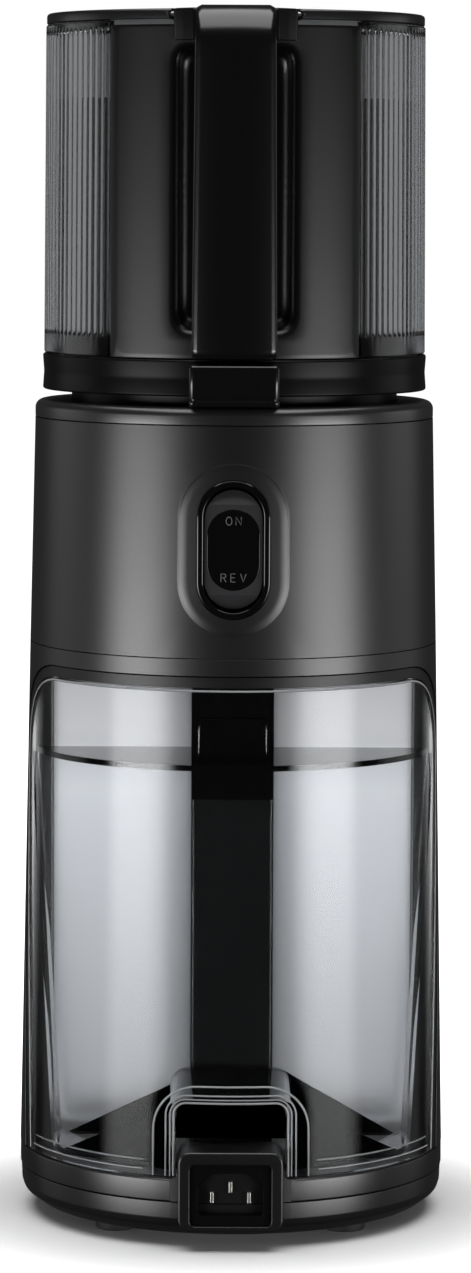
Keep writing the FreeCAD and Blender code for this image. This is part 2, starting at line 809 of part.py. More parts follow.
def strainer():
    """Conical strainer with rows of upright slots, on a foot ring that stands on the drum's floor."""
    floor_z = top_seam_z + cover_plate + seam + neck_floor
    wall = strainer_wall
    cone = turned([(strainer_foot_r, strainer_foot_z), (strainer_foot_r + wall, strainer_foot_z),
                   (strainer_top_r + wall, strainer_top_z), (strainer_top_r, strainer_top_z)])
    foot = tube(strainer_foot_r + wall + 1, strainer_foot_r, floor_z, strainer_foot_z + 3)
    rim = tube(strainer_top_r + wall + strainer_rim, strainer_top_r, strainer_top_z - 4, strainer_top_z)
    basket = join([cone, foot, rim])
    slot = box(strainer_foot_r - 6, strainer_top_r + 8, -slot_width / 2, slot_width / 2,
               strainer_foot_z + slot_gap, strainer_top_z - slot_gap)
    return basket.cut(group(around(strainer_slots, slot)))


def screw():
    """Juicing screw: tapered core with helical flights inside the strainer, and a hexagonal socket below."""
    height = screw_top_z - screw_foot_z
    core = Part.makeCone(core_foot_r, core_top_r, height, V(0, 0, screw_foot_z), UP)
    rise = height - flight_thick - 6.0
    path = Part.makeHelix(flight_pitch, rise, core_top_r)
    inner = core_top_r - 3.0
    half = flight_thick / 2
    section = Part.makePolygon([V(inner, 0, -half), V(flight_r, 0, -half * 0.5), V(flight_r, 0, half * 0.5),
                                V(inner, 0, half), V(inner, 0, -half)])
    flight = Part.Wire(path).makePipeShell([section], True, True)
    if flight.Volume < 0:
        flight.reverse()
    flight.translate(V(0, 0, screw_foot_z + half + 0.2))
    body = core
    for turn in around(flight_count, flight):
        body = body.fuse(turn)
    hub_foot = top_seam_z + cover_plate + seam + neck_floor + seal_lip + slip
    body = body.fuse([rod(flight_r, screw_foot_z, screw_foot_z + 2.2), rod(hub_r, hub_foot, screw_foot_z + 1.0)])
    return body.removeSplitter().cut(hexagon(hex_flats + 2 * slip, hub_foot - 1, socket_top))


def hopper_ring(z0, z1, fluted):
    """Open ring of the hopper between two heights, plain or with flutes, with the taper of its wall."""
    start = panel_angle + math.degrees(panel_gap / hopper_foot_r)
    span = 360.0 - 2 * start
    count = int(span / flute_pitch_deg)
    step = span / count

    def outline(z):
        share = (z - hopper_foot_z) / (hopper_top_z - hopper_foot_z)
        r = hopper_foot_r + (hopper_top_r - hopper_foot_r) * share
        valley = r - flute_depth if fluted else r
        outer = []
        for k in range(count):
            a = start + step * k
            outer.append((valley, a))
            if fluted:
                outer += [(r, a + step * 0.3), (r, a + step * 0.7)]
        outer.append((valley, start + span))
        inner = [(r - hopper_wall, start + span * (1 - k / 40.0)) for k in range(41)]
        points = [V(rr * math.sin(math.radians(a)), -rr * math.cos(math.radians(a)), z) for rr, a in outer + inner]
        return Part.makePolygon(points + points[:1])

    return Part.makeLoft([outline(z0), outline(z1)], True, True)


def hopper():
    """Fluted hopper wall between a plain lower band and a plain rim, open at the rear for the panel."""
    flutes = hopper_ring(flute_foot_z, flute_top_z, True)
    band = hopper_ring(hopper_foot_z, flute_foot_z, False)
    rim = hopper_ring(flute_top_z, hopper_top_z, False)
    return band.fuse([flutes, rim])


def rear_sector(r_out, r_in, z0, z1, angle):
    a = math.radians(angle)
    wedge = prism_z([(0, 0), (-reach * math.sin(a), -reach * math.cos(a)), (0, -reach / math.cos(a)),
                     (reach * math.sin(a), -reach * math.cos(a))], z0, z1)
    return tube(r_out, r_in, z0, z1).common(wedge)


def rear_panel():
    """Opaque rear panel with the deep finger pocket behind the handle."""
    panel = rear_sector(panel_r, panel_r - panel_wall, hopper_foot_z, panel_top_z, panel_angle)
    outer = box(-pocket_half - pocket_wall, pocket_half + pocket_wall, -panel_r, -pocket_floor_y + pocket_wall,
                pocket_foot_z - pocket_wall, pocket_top_z + pocket_wall)
    outer = outer.common(rod(panel_r - 0.5, hopper_foot_z, panel_top_z))
    hollow = rounded_box_y(pocket_half, reach, pocket_floor_y, pocket_foot_z, pocket_top_z, pocket_round)
    return join([panel, outer]).cut(hollow).cut(shoulder_block())


def shoulder_block():
    """Hinge shoulder: flush with the lid, rounded about the hinge axis and narrowing towards the strap."""
    near, mid = shoulder_rear_y - shoulder_flare, shoulder_rear_y - shoulder_flare / 2
    slim = strap_half_top + shoulder_lap
    wide = slim + shoulder_flare * 0.6
    plan = prism_z([(-shoulder_half, 0), (-shoulder_half, -near), (-wide, -mid), (-slim, -shoulder_rear_y),
                    (slim, -shoulder_rear_y), (wide, -mid), (shoulder_half, -near), (shoulder_half, 0)],
                   shoulder_foot_z, lid_top_z)
    round_front = Part.makeCylinder(hinge_front - slip, 2 * reach, V(-reach, -hinge_y, hinge_z), RIGHT)
    behind = box(-reach, reach, -reach, -hinge_y, shoulder_foot_z, lid_top_z)
    return plan.common(join([round_front, behind]))


def hinge_shoulder():
    bore = Part.makeCylinder(hinge_pin_r, 80, V(-40, -hinge_y, hinge_z), RIGHT)
    return shoulder_block().cut(bore)


def hinge_pin():
    return Part.makeCylinder(hinge_pin_r, 2 * hinge_pin_half, V(-hinge_pin_half, -hinge_y, hinge_z), RIGHT)


def strap_profile():
    """Side outline of the handle strap: round upper bend, straight grip and a short lower foot."""
    y1, y0 = -strap_outer_y, -strap_outer_y + strap_thick
    top, low = strap_top_z, strap_foot_z
    bend, toe = strap_bend, strap_foot_bend
    start, end = -shoulder_rear_y + strap_thick, -panel_r - 0.1
    cosine = math.cos(math.radians(45))
    inner = bend - strap_thick

    def arc(cy, cz, r, sy, sz):
        return Part.Arc(V(0, cy + sy[0] * r, cz + sz[0] * r), V(0, cy + sy[1] * r, cz + sz[1] * r),
                        V(0, cy + sy[2] * r, cz + sz[2] * r)).toShape()

    edges = [
        Part.makeLine(V(0, start, top), V(0, y1 + bend, top)),
        arc(y1 + bend, top - bend, bend, (0, -cosine, -1), (1, cosine, 0)),
        Part.makeLine(V(0, y1, top - bend), V(0, y1, low + toe)),
        arc(y1 + toe, low + toe, toe, (-1, -cosine, 0), (0, -cosine, -1)),
        Part.makeLine(V(0, y1 + toe, low), V(0, end, low)),
        Part.makeLine(V(0, end, low), V(0, end, low + strap_thick)),
        Part.makeLine(V(0, end, low + strap_thick), V(0, y0, low + strap_thick)),
        Part.makeLine(V(0, y0, low + strap_thick), V(0, y0, top - bend)),
        arc(y1 + bend, top - bend, inner, (-1, -cosine, 0), (0, cosine, 1)),
        Part.makeLine(V(0, y1 + bend, top - strap_thick), V(0, start, top - strap_thick)),
        Part.makeLine(V(0, start, top - strap_thick), V(0, start, top)),
    ]
    return Part.Face(Part.Wire(edges))


def handle_strap():
    """Handle strap with chamfered outer edges, a little wider towards its foot."""
    bar = strap_profile().extrude(V(2 * strap_half_foot, 0, 0))
    bar.translate(V(-strap_half_foot, 0, 0))
    top, low = strap_top_z + 1, strap_foot_z - 1
    taper = prism_y([(-strap_half_foot, low), (strap_half_foot, low), (strap_half_top, top), (-strap_half_top, top)],
                    -100, 0)
    w, c, y = strap_half_foot, strap_chamfer, -strap_outer_y
    section = prism_z([(-w, 0), (-w, y + c), (-w + 2 * c, y - 0.1), (w - 2 * c, y - 0.1), (w, y + c), (w, 0)], low, top)
    return bar.common(taper).common(section).cut(shoulder_block())


def handle_block():
    """Lower block of the handle on the drum's ring, with rounded upright edges and a thin lower lip."""
    block = box(-block_half, block_half, -block_outer_y, -drum_ring_r + 6, block_foot_z, block_top_z)
    edges = [e for e in block.Edges if abs(e.BoundBox.YMin + block_outer_y) < 1e-3 and e.BoundBox.YLength < 1e-3
             and e.BoundBox.ZLength > 1]
    block = block.makeFillet(block_round, edges)
    groove = box(-block_half - 1, block_half + 1, -block_outer_y - 1, -block_outer_y + 0.6,
                 block_foot_z + 2.2, block_foot_z + 2.8)
    ring = join([rod(drum_ring_r, drum_ring_foot, drum_ring_top), rod(neck_r, block_foot_z - 1, drum_ring_foot)])
    return block.cut(groove).cut(ring).cut(block_screws())


def block_screws():
    """Two screws that hold the handle block to the drum, from inside the ring."""
    z = (block_foot_z + block_top_z) / 2
    screws = []
    for x in (-8.0, 8.0):
        screws.append(Part.makeCylinder(screw_shank_r, 12.0, V(x, -block_outer_y + 4, z), V(0, 1, 0)))
    return group(screws)


def lid():
    """Flat round lid with a slot round the hinge shoulder and bores for the hinge pin."""
    disc = rod(lid_r, lid_foot_z, lid_top_z)
    disc = disc.makeFillet(lid_edge, [e for e in disc.Edges if abs(e.BoundBox.ZMin - lid_top_z) < 1e-3])
    slot = box(-lid_slot_half, lid_slot_half, -reach, -hinge_y + hinge_front, lid_foot_z - 1, lid_top_z + 1)
    bore = Part.makeCylinder(hinge_pin_r + pin_play, 2 * hinge_pin_half + 1,
                             V(-hinge_pin_half - 0.5, -hinge_y, hinge_z), RIGHT)
    return disc.cut(slot).cut(bore)


def lid_gasket():
    ring = tube(gasket_r, gasket_r - gasket_wall, lid_foot_z - gasket_height, lid_foot_z)
    return ring.cut(box(-reach, reach, -reach, -gasket_cut_y, 0, lid_top_z))


PIECES = {
    "base_cover": base_cover,
    "base_ring": base_ring,
    "rubber_feet": rubber_feet,
    "base_screws": base_screws,
    "inlet_housing": inlet_housing,
    "inlet_socket": inlet_socket,
    "inlet_pins": inlet_pins,
    "ceiling_plate": ceiling_plate,
    "divider": divider,
    "pillars": pillars,
    "arch_trims": arch_trims,
    "lower_shell": lower_shell,
    "body_shell": body_shell,
    "top_cover": top_cover,
    "pulp_duct": pulp_duct,
    "juice_duct": juice_duct,
    "switch_bezel": switch_bezel,
    "switch_body": switch_body,
    "switch_rocker": switch_rocker,
    "rocker_face": rocker_face,
    "control_board": control_board,
    "motor_can": motor_can,
    "gear_case": gear_case,
    "gear_screws": gear_screws,
    "shaft_bearing": shaft_bearing,
    "shaft_seal": shaft_seal,
    "output_shaft": output_shaft,
    "pulp_container": pulp_container,
    "container_cover": container_cover,
    "juice_jug": juice_jug,
    "drum": drum,
    "bowl_wall": bowl_wall_piece,
    "drum_seal": drum_seal,
    "strainer": strainer,
    "screw": screw,
    "hopper": hopper,
    "rear_panel": rear_panel,
    "hinge_shoulder": hinge_shoulder,
    "hinge_pin": hinge_pin,
    "handle_strap": handle_strap,
    "handle_block": handle_block,
    "block_screws": block_screws,
    "lid": lid,
    "lid_gasket": lid_gasket,
}

os.makedirs("parts", exist_ok=True)
for name, make in PIECES.items():
    piece = make()
    print(name, "valid" if piece.isValid() else "BROKEN", len(piece.Solids), round(piece.Volume, 1))
    piece.exportStep("parts/" + name + ".step")
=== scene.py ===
import math

import bmesh
import bpy
import numpy as np
from mathutils import Matrix, Vector


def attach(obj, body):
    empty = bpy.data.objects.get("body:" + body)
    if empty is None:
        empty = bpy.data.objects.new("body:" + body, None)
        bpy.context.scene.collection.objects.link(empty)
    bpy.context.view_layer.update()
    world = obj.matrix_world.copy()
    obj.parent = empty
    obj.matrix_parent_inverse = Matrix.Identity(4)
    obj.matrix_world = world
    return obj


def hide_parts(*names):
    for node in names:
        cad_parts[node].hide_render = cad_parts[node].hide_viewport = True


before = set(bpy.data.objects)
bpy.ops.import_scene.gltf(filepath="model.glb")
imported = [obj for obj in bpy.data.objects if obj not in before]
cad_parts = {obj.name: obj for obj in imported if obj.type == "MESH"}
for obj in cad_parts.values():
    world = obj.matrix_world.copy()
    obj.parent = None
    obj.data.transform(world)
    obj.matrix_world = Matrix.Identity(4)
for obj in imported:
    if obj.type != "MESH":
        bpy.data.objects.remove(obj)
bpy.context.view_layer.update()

MM = 0.001
TAU = 2 * math.pi

# Sizes of the juicer in millimetres, as in its solids
FOOT_Z, FOOT_R = 27.0, 82.8
SEAM_Z, SEAM_R = 223.4, 79.0
TOP_Z, TOP_R = 310.5, 77.05
CORNER_ANGLE, CORNER_R, CORNER_Z, FOOT_T = math.radians(58.9), 35.0, 177.5, 18.1
SWITCH_Z, CUP_TOP, BACK_Y = 264.3, 181.0, 16.6


# Numbers to meshes

def body_r(z):
    """Radius of the body at height z: two straight tapers that meet at the flat seam."""
    return np.interp(z, [FOOT_Z, SEAM_Z, TOP_Z], [FOOT_R, SEAM_R, TOP_R])


def round_about(phi, r, z):
    """Points about the vertical axis: angle phi from the rear towards +X, radius r and height z."""
    phi, r, z = np.broadcast_arrays(phi, r, z)
    return np.stack([r * np.sin(phi), -r * np.cos(phi), z], -1)


def mesh_of(name, verts, faces, material, body, slot, smooth=40.0, bevel=0.0, node=None, wall=0.0):
    """Makes a piece from points in millimetres and faces, and hangs it on its body: a sheet gets a wall."""
    mesh = bpy.data.meshes.new(name)
    mesh.from_pydata((np.asarray(verts, float).reshape(-1, 3) * MM).tolist(), [], faces)
    mesh.validate()
    mesh.update()
    piece = bpy.data.objects.new(name, mesh)
    bpy.context.collection.objects.link(piece)
    tidy_faces(mesh, wall > 0)
    mesh.materials.append(material)
    mesh.shade_smooth()
    mesh.set_sharp_from_angle(angle=math.radians(smooth))
    if wall:
        sharpen_border(mesh)
        thick = piece.modifiers.new("wall", "SOLIDIFY")
        thick.thickness, thick.offset = wall * MM, -1.0
    if bevel:
        edge = piece.modifiers.new("edge", "BEVEL")
        edge.width, edge.segments, edge.limit_method = bevel * MM, 2, "ANGLE"
        edge.angle_limit = math.radians(50)
        edge.harden_normals = True
    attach(piece, body)
    if node:
        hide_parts(node)
    return piece


def tidy_faces(mesh, is_sheet):
    """Merges doubles and turns all the faces outwards: away from the axis on a sheet."""
    bm = bmesh.new()
    bm.from_mesh(mesh)
    bmesh.ops.remove_doubles(bm, verts=bm.verts, dist=2e-6)
    bmesh.ops.recalc_face_normals(bm, faces=bm.faces)
    if is_sheet:
        level = Vector((1, 1, 0))
        outward = sum(f.normal.dot(f.calc_center_median() * level) * f.calc_area() for f in bm.faces)
        if outward < 0:
            bmesh.ops.reverse_faces(bm, faces=bm.faces)
    bm.to_mesh(mesh)
    bm.free()


def sharpen_border(mesh):
    """Marks a sheet's open edges sharp, so that its face and its rim are shaded apart."""
    bm = bmesh.new()
    bm.from_mesh(mesh)
    for edge in bm.edges:
        if edge.is_boundary:
            edge.smooth = False
    bm.to_mesh(mesh)
    bm.free()


def quads(rows, cols, wrap_rows, wrap_cols, start=0):
    """Index quads of a grid of rows by cols points, wrapped on itself where asked."""
    i = np.arange(rows if wrap_rows else rows - 1)
    j = np.arange(cols if wrap_cols else cols - 1)
    i, j = np.meshgrid(i, j, indexing="ij")
    i2, j2 = (i + 1) % rows, (j + 1) % cols
    corners = [i * cols + j, i * cols + j2, i2 * cols + j2, i2 * cols + j]
    return (np.stack(corners, -1).reshape(-1, 4) + start).tolist()


def rings_mesh(rings, closed_path=False, caps=True):
    """Closed outlines carried along a path: rings[k] are the points of outline k, joined to the next one."""
    rings = np.asarray(rings, float)
    m, n, _ = rings.shape
    faces = quads(m, n, closed_path, True)
    if caps and not closed_path:
        faces += [list(range(n))[::-1], list(range((m - 1) * n, m * n))]
    return rings.reshape(-1, 3), faces


def slab_mesh(outer, inner, wrap=False):
    """Plate between two grids of points: its two faces and the walls round its border."""
    outer, inner = np.asarray(outer, float), np.asarray(inner, float)
    m, n, _ = outer.shape
    faces = quads(m, n, False, wrap) + quads(m, n, False, wrap, m * n)
    if wrap:
        borders = [np.arange(n), (m - 1) * n + np.arange(n)]
        for b in borders:
            c = np.roll(b, -1)
            faces += np.stack([b, c, c + m * n, b + m * n], -1).tolist()
    else:
        loop = np.concatenate([np.arange(n), np.arange(1, m) * n + n - 1,
                               (m - 1) * n + np.arange(n - 2, -1, -1),
                               np.arange(m - 2, 0, -1) * n])
        c = np.roll(loop, -1)
        faces += np.stack([loop, c, c + m * n, loop + m * n], -1).tolist()
    return np.concatenate([outer.reshape(-1, 3), inner.reshape(-1, 3)]), faces


def merged(parts):
    """One list of points and faces from several."""
    verts, faces, count = [], [], 0
    for v, f in parts:
        v = np.asarray(v, float).reshape(-1, 3)
        verts.append(v)
        faces += [[i + count for i in face] for face in f]
        count += len(v)
    return np.concatenate(verts), faces


def rounded_outline(points, radius, steps=6):
    """Closed outline with each corner replaced by an arc: radius is one value or one for each corner."""
    points = np.asarray(points, float)
    radius = np.broadcast_to(np.asarray(radius, float), len(points))
    out = []
    for k, p in enumerate(points):
        a, b = points[k - 1] - p, points[(k + 1) % len(points)] - p
        la, lb = np.linalg.norm(a), np.linalg.norm(b)
        a, b = a / la, b / lb
        half = math.acos(max(-1, min(1, float(a @ b)))) / 2
        r = radius[k]
        cut = min(r / math.tan(half), 0.499 * la, 0.499 * lb) if r > 0 and half < 1.55 else 0
        if cut <= 0:
            out.append(p[None])
            continue
        r = cut * math.tan(half)
        centre = p + (a + b) / np.linalg.norm(a + b) * (r / math.sin(half))
        t0, t1 = p + a * cut - centre, p + b * cut - centre
        ang = np.linspace(0, 1, steps + 1)[:, None]
        total = math.acos(max(-1, min(1, float(t0 @ t1) / (r * r))))
        arc = (np.sin((1 - ang) * total) * t0 + np.sin(ang * total) * t1) / math.sin(total)
        out.append(centre + arc)
    return np.concatenate(out)


def turned(profile, start=0.0, end=TAU, steps=180):
    """Closed outline of (radius, height) turned about the axis, whole or from one angle to another."""
    profile = np.asarray(profile, float)
    whole = abs(end - start - TAU) < 1e-9
    phi = np.linspace(start, end, steps, endpoint=not whole)
    rings = round_about(phi[:, None], profile[None, :, 0], profile[None, :, 1])
    return rings_mesh(rings, closed_path=whole)


def rect_ring(half, low, high, corner, steps=8):
    """Rounded rectangle in (x, z), from -half to half and from low to high."""
    return rounded_outline([(half, low), (half, high), (-half, high), (-half, low)], max(corner, 0.05),
                           steps)


def by_angle(outline, x, z, angles=None):
    """The outline's points where rays from (x, z) at the given angles cross it."""
    angles = np.linspace(-math.pi, math.pi, 144, endpoint=False) if angles is None else angles
    close = np.vstack([outline, outline[:1]])
    t = np.linspace(0, 1, 24, endpoint=False)[None, :, None]
    dense = (close[:-1, None] + (close[1:] - close[:-1])[:, None] * t).reshape(-1, 2) - [x, z]
    at = np.arctan2(dense[:, 1], dense[:, 0])
    order = np.argsort(at)
    at, r = at[order], np.hypot(*dense[order].T)
    at = np.concatenate([at[-40:] - TAU, at, at[:40] + TAU])
    r = np.concatenate([r[-40:], r, r[:40]])
    reach = 1 / np.interp(angles, at, 1 / r)
    return np.stack([x + reach * np.cos(angles), z + reach * np.sin(angles)], -1)


def round_edge(radius, y, steps=6):
    """Quarter round of an edge: pairs of inset and distance from the axis, from side wall to face."""
    a = np.linspace(0, math.pi / 2, steps)
    return list(zip(radius * (1 - np.cos(a)), y - radius * (1 - np.sin(a))))


def along_y(rings, closed=False):
    """Closed outlines in (x, z) placed at their y values and joined in turn."""
    return rings_mesh([np.stack([p[:, 0], np.full(len(p), y), p[:, 1]], -1) for p, y in rings],
                      closed_path=closed)


def shifted(part, x, y, z):
    return part[0] + [x, y, z], part[1]


def stadium(r, half, z, steps=24):
    """Slot-shaped outline in (x, z): two half circles of radius r, half above and below the height z."""
    a = np.linspace(0, math.pi, steps)
    top = np.stack([r * np.cos(a), z + half + r * np.sin(a)], -1)
    low = np.stack([-r * np.cos(a), z - half - r * np.sin(a)], -1)
    return np.concatenate([top, low])


# Window outline

def window_half(offset, flank=26, arc=26, foot_z=None):
    """Right half of the window's outline as angle and height: a slanting flank, then a round corner."""
    dz = CORNER_Z - FOOT_Z
    dist = math.hypot(FOOT_T, dz)
    slope = math.atan2(dz, -FOOT_T) - math.asin(CORNER_R / dist)
    nx, nz = math.sin(slope), -math.cos(slope)
    run = math.sqrt(dist ** 2 - CORNER_R ** 2)
    start = np.array([FOOT_T + offset * nx, FOOT_Z + offset * nz])
    head = start + run * np.array([math.cos(slope), math.sin(slope)])
    low = foot_z if foot_z is not None else 26.9
    toe = np.array([start[0] + (low - start[1]) / math.tan(slope), low])
    s = np.linspace(0, 1, flank)[:, None]
    side = toe + (head - toe) * s
    a = np.linspace(slope - math.pi / 2, math.pi / 2, arc)[1:]
    rho = CORNER_R + offset
    corner = np.stack([rho * np.cos(a), CORNER_Z + rho * np.sin(a)], -1)
    t, z = np.concatenate([side, corner]).T
    return CORNER_ANGLE + np.arcsin(t / body_r(z)), z


def window_line(offset, top=48, **more):
    """Whole outline of the window from the left foot over the top to the right foot, as angle and height."""
    phi, z = window_half(offset, **more)
    flat = np.linspace(phi[-1], -phi[-1], top)[1:-1]
    return (np.concatenate([phi, flat, -phi[::-1]])[::-1],
            np.concatenate([z, np.full(top - 2, z[-1]), z[::-1]])[::-1])


# Materials

def added(n, kinds):
    """New shader nodes of the kinds named."""
    return [n.new("ShaderNode" + kind) for kind in kinds.split()]


def set_sockets(node, values):
    """Sets input sockets by name."""
    for socket, value in values.items():
        node.inputs[socket].default_value = value


def grain_group():
    """Fine moulding grain: a height for bump and a roughness that wanders a little over the surface."""
    group = bpy.data.node_groups.new("moulding grain", "ShaderNodeTree")
    face = group.interface
    for label, value in (("Grain", 2600.0), ("Smear", 14.0), ("Rough", 0.4), ("Spread", 0.08)):
        face.new_socket(label, in_out="INPUT", socket_type="NodeSocketFloat").default_value = value
    for label in ("Height", "Roughness"):
        face.new_socket(label, in_out="OUTPUT", socket_type="NodeSocketFloat")
    n, link = group.nodes, group.links.new
    inside, outside = n.new("NodeGroupInput"), n.new("NodeGroupOutput")
    place, fine, broad, centre, scaled, total = added(n, "TexCoord TexNoise TexNoise Math Math Math")
    fine.inputs["Detail"].default_value = 1.0
    broad.inputs["Detail"].default_value = 3.0
    for tex, socket in ((fine, "Grain"), (broad, "Smear")):
        link(place.outputs["Object"], tex.inputs["Vector"])
        link(inside.outputs[socket], tex.inputs["Scale"])
    centre.operation, scaled.operation, total.operation = "SUBTRACT", "MULTIPLY", "ADD"
    centre.inputs[1].default_value = 0.5
    link(broad.outputs["Fac"], centre.inputs[0])
    link(centre.outputs[0], scaled.inputs[0])
    link(inside.outputs["Spread"], scaled.inputs[1])
    link(scaled.outputs[0], total.inputs[0])
    link(inside.outputs["Rough"], total.inputs[1])
    link(fine.outputs["Fac"], outside.inputs["Height"])
    link(total.outputs[0], outside.inputs["Roughness"])
    return group


GRAIN = grain_group()


def finish_of(name, colour, rough, spread=0.08, grain=2600.0, depth=0.02, metallic=0.0, transmission=0.0,
              ior=1.5, specular=0.5, tint=0.06):
    """Surface finish: base colour with a slow variation, grain bump and a wandering roughness."""
    mat = bpy.data.materials.new(name)
    mat.use_nodes = True
    n, link = mat.node_tree.nodes, mat.node_tree.links.new
    shader = n["Principled BSDF"]
    set_sockets(shader, {"Metallic": metallic, "IOR": ior, "Specular IOR Level": specular,
                         "Transmission Weight": transmission})
    group = n.new("ShaderNodeGroup")
    group.node_tree = GRAIN
    set_sockets(group, {"Grain": grain, "Rough": rough, "Spread": spread})
    link(group.outputs["Roughness"], shader.inputs["Roughness"])
    bump = n.new("ShaderNodeBump")
    set_sockets(bump, {"Strength": 1.0, "Distance": depth * MM})
    link(group.outputs["Height"], bump.inputs["Height"])
    link(bump.outputs["Normal"], shader.inputs["Normal"])
    place, noise, ramp = added(n, "TexCoord TexNoise ValToRGB")
    noise.inputs["Scale"].default_value = 9.0
    link(place.outputs["Object"], noise.inputs["Vector"])
    link(noise.outputs["Fac"], ramp.inputs["Fac"])
    low, high = [c * (1 - tint) for c in colour], [min(1.0, c * (1 + tint)) for c in colour]
    ramp.color_ramp.elements[0].color = (*low, 1)
    ramp.color_ramp.elements[1].color = (*high, 1)
    ramp.color_ramp.elements[0].position, ramp.color_ramp.elements[1].position = 0.35, 0.65
    link(ramp.outputs["Color"], shader.inputs["Base Color"])
    return mat


def span_node(n, low, high, least=0.0, most=1.0, kind="LINEAR"):
    """Node that maps low..high to least..most."""
    span = n.new("ShaderNodeMapRange")
    span.interpolation_type = kind
    for k, value in enumerate((low, high, least, most)):
        span.inputs[k + 1].default_value = value
    return span


def height_ramp(n, link, levels, blue=1.0):
    """Grey that follows the height on the piece: pairs of height in metres and value."""
    place, split, ramp = added(n, "TexCoord SeparateXYZ ValToRGB")
    low, high = levels[0][0], levels[-1][0]
    span = span_node(n, low, high)
    link(place.outputs["Object"], split.inputs[0])
    link(split.outputs["Z"], span.inputs["Value"])
    link(span.outputs["Result"], ramp.inputs["Fac"])
    stops = ramp.color_ramp.elements
    for k, (z, v) in enumerate(levels):
        stop = stops[k] if k < 2 else stops.new(1.0)
        stop.position, stop.color = (z - low) / (high - low), (v, v, v * blue, 1)
    return ramp.outputs["Color"]


def paint_light_by_height(mat, levels):
    """Painted light and shade: colours the finish lighter or darker by its height in the juicer."""
    n, link = mat.node_tree.nodes, mat.node_tree.links.new
    link(height_ramp(n, link, levels, 1.02), n["Principled BSDF"].inputs["Base Color"])


def shade_near_middle(mat, near, far, least):
    """Painted shade of the black column: darkens the finish near the plane x = 0, a factor that rises from
    least at near to one at far.
    """
    n, link = mat.node_tree.nodes, mat.node_tree.links.new
    place, split, size, shaded = added(n, "TexCoord SeparateXYZ Math VectorMath")
    size.operation, shaded.operation = "ABSOLUTE", "SCALE"
    span = span_node(n, near, far, least)
    base = n["Principled BSDF"].inputs["Base Color"]
    link(base.links[0].from_socket, shaded.inputs[0])
    link(place.outputs["Object"], split.inputs[0])
    link(split.outputs["X"], size.inputs[0])
    link(size.outputs[0], span.inputs["Value"])
    link(span.outputs["Result"], shaded.inputs["Scale"])
    link(shaded.outputs[0], base)


SATIN_BODY = finish_of("satin black body", (0.0055, 0.0055, 0.006), 0.34, depth=0.012, specular=0.8)
SATIN_PANEL = finish_of("satin black panel", (0.003, 0.003, 0.0035), 0.3, depth=0.012, specular=0.42)
TOP_FACE = finish_of("satin black top", (0.012, 0.012, 0.013), 0.3, depth=0.008, specular=0.8)
LID_BLACK = finish_of("lid black", (0.006, 0.006, 0.0065), 0.3, depth=0.008, specular=0.7)
HANDLE_BLACK = finish_of("handle black", (0.002, 0.002, 0.0025), 0.21, spread=0.03, depth=0.006,
                         specular=0.6)
BASE_BLACK = finish_of("base black", (0.005, 0.005, 0.0055), 0.3, depth=0.012, specular=0.7)
FRAME_BLACK = finish_of("frame black", (0.003, 0.003, 0.0035), 0.4)
RING_BLACK = finish_of("ring black", (0.003, 0.003, 0.0035), 0.3, depth=0.006, specular=0.1)
GLOSS_BLACK = finish_of("gloss black", (0.002, 0.002, 0.0025), 0.08, spread=0.03, depth=0.002)
ROCKER_GREY = finish_of("rocker grey", (0.03, 0.03, 0.032), 0.36)
INSERT_BLACK = finish_of("insert black", (0.0012, 0.0012, 0.0014), 0.5, depth=0.01, specular=0.1)
RUBBER = finish_of("foot rubber", (0.006, 0.006, 0.006), 0.7, grain=900.0, depth=0.05)
SILICONE = finish_of("seal silicone", (0.2, 0.2, 0.2), 0.5)
STEEL = finish_of("screw steel", (0.6, 0.6, 0.6), 0.3, metallic=1.0)
PLATED = finish_of("plated pins", (0.75, 0.74, 0.7), 0.35, metallic=1.0)
LACQUER = finish_of("motor lacquer", (0.3, 0.3, 0.31), 0.45)
BOARD = finish_of("board lacquer", (0.05, 0.2, 0.09), 0.35)
SCREW_BLACK = finish_of("hard black screw", (0.02, 0.02, 0.022), 0.35)
SMOKED = finish_of("smoked hopper", (0.32, 0.33, 0.34), 0.08, spread=0.03, depth=0.002, transmission=1.0,
                   ior=1.49,
                   specular=0.3)
CLEAR = finish_of("clear container", (0.93, 0.94, 0.95), 0.03, spread=0.02, depth=0.001, transmission=1.0,
                  ior=1.2,
                  tint=0.01)
# Grey opaque colour for the clear container's edges: a painted highlight.
EDGE_GREY_PAINTED_HIGHLIGHT = finish_of("grey edge, painted highlight", (0.3, 0.31, 0.32), 0.12, spread=0.04, depth=0.001)
FROSTED_PAINTED_SHADING = finish_of("frosted wall", (0.8, 0.81, 0.83), 0.5, transmission=1.0, ior=1.3, tint=0.02,
                    specular=0.15)
# Painted light and shade on the frosted walls: brightest at 165 mm high, darker below and above.
paint_light_by_height(FROSTED_PAINTED_SHADING, [(0.03, 0.52), (0.09, 0.72), (0.165, 1.0), (0.185, 0.72), (0.21, 0.6)])
# Painted shade beside the black column on the frosted walls.
shade_near_middle(FROSTED_PAINTED_SHADING, 0.015, 0.034, 0.3)
LETTER = finish_of("grey lettering", (0.12, 0.12, 0.12), 0.5)

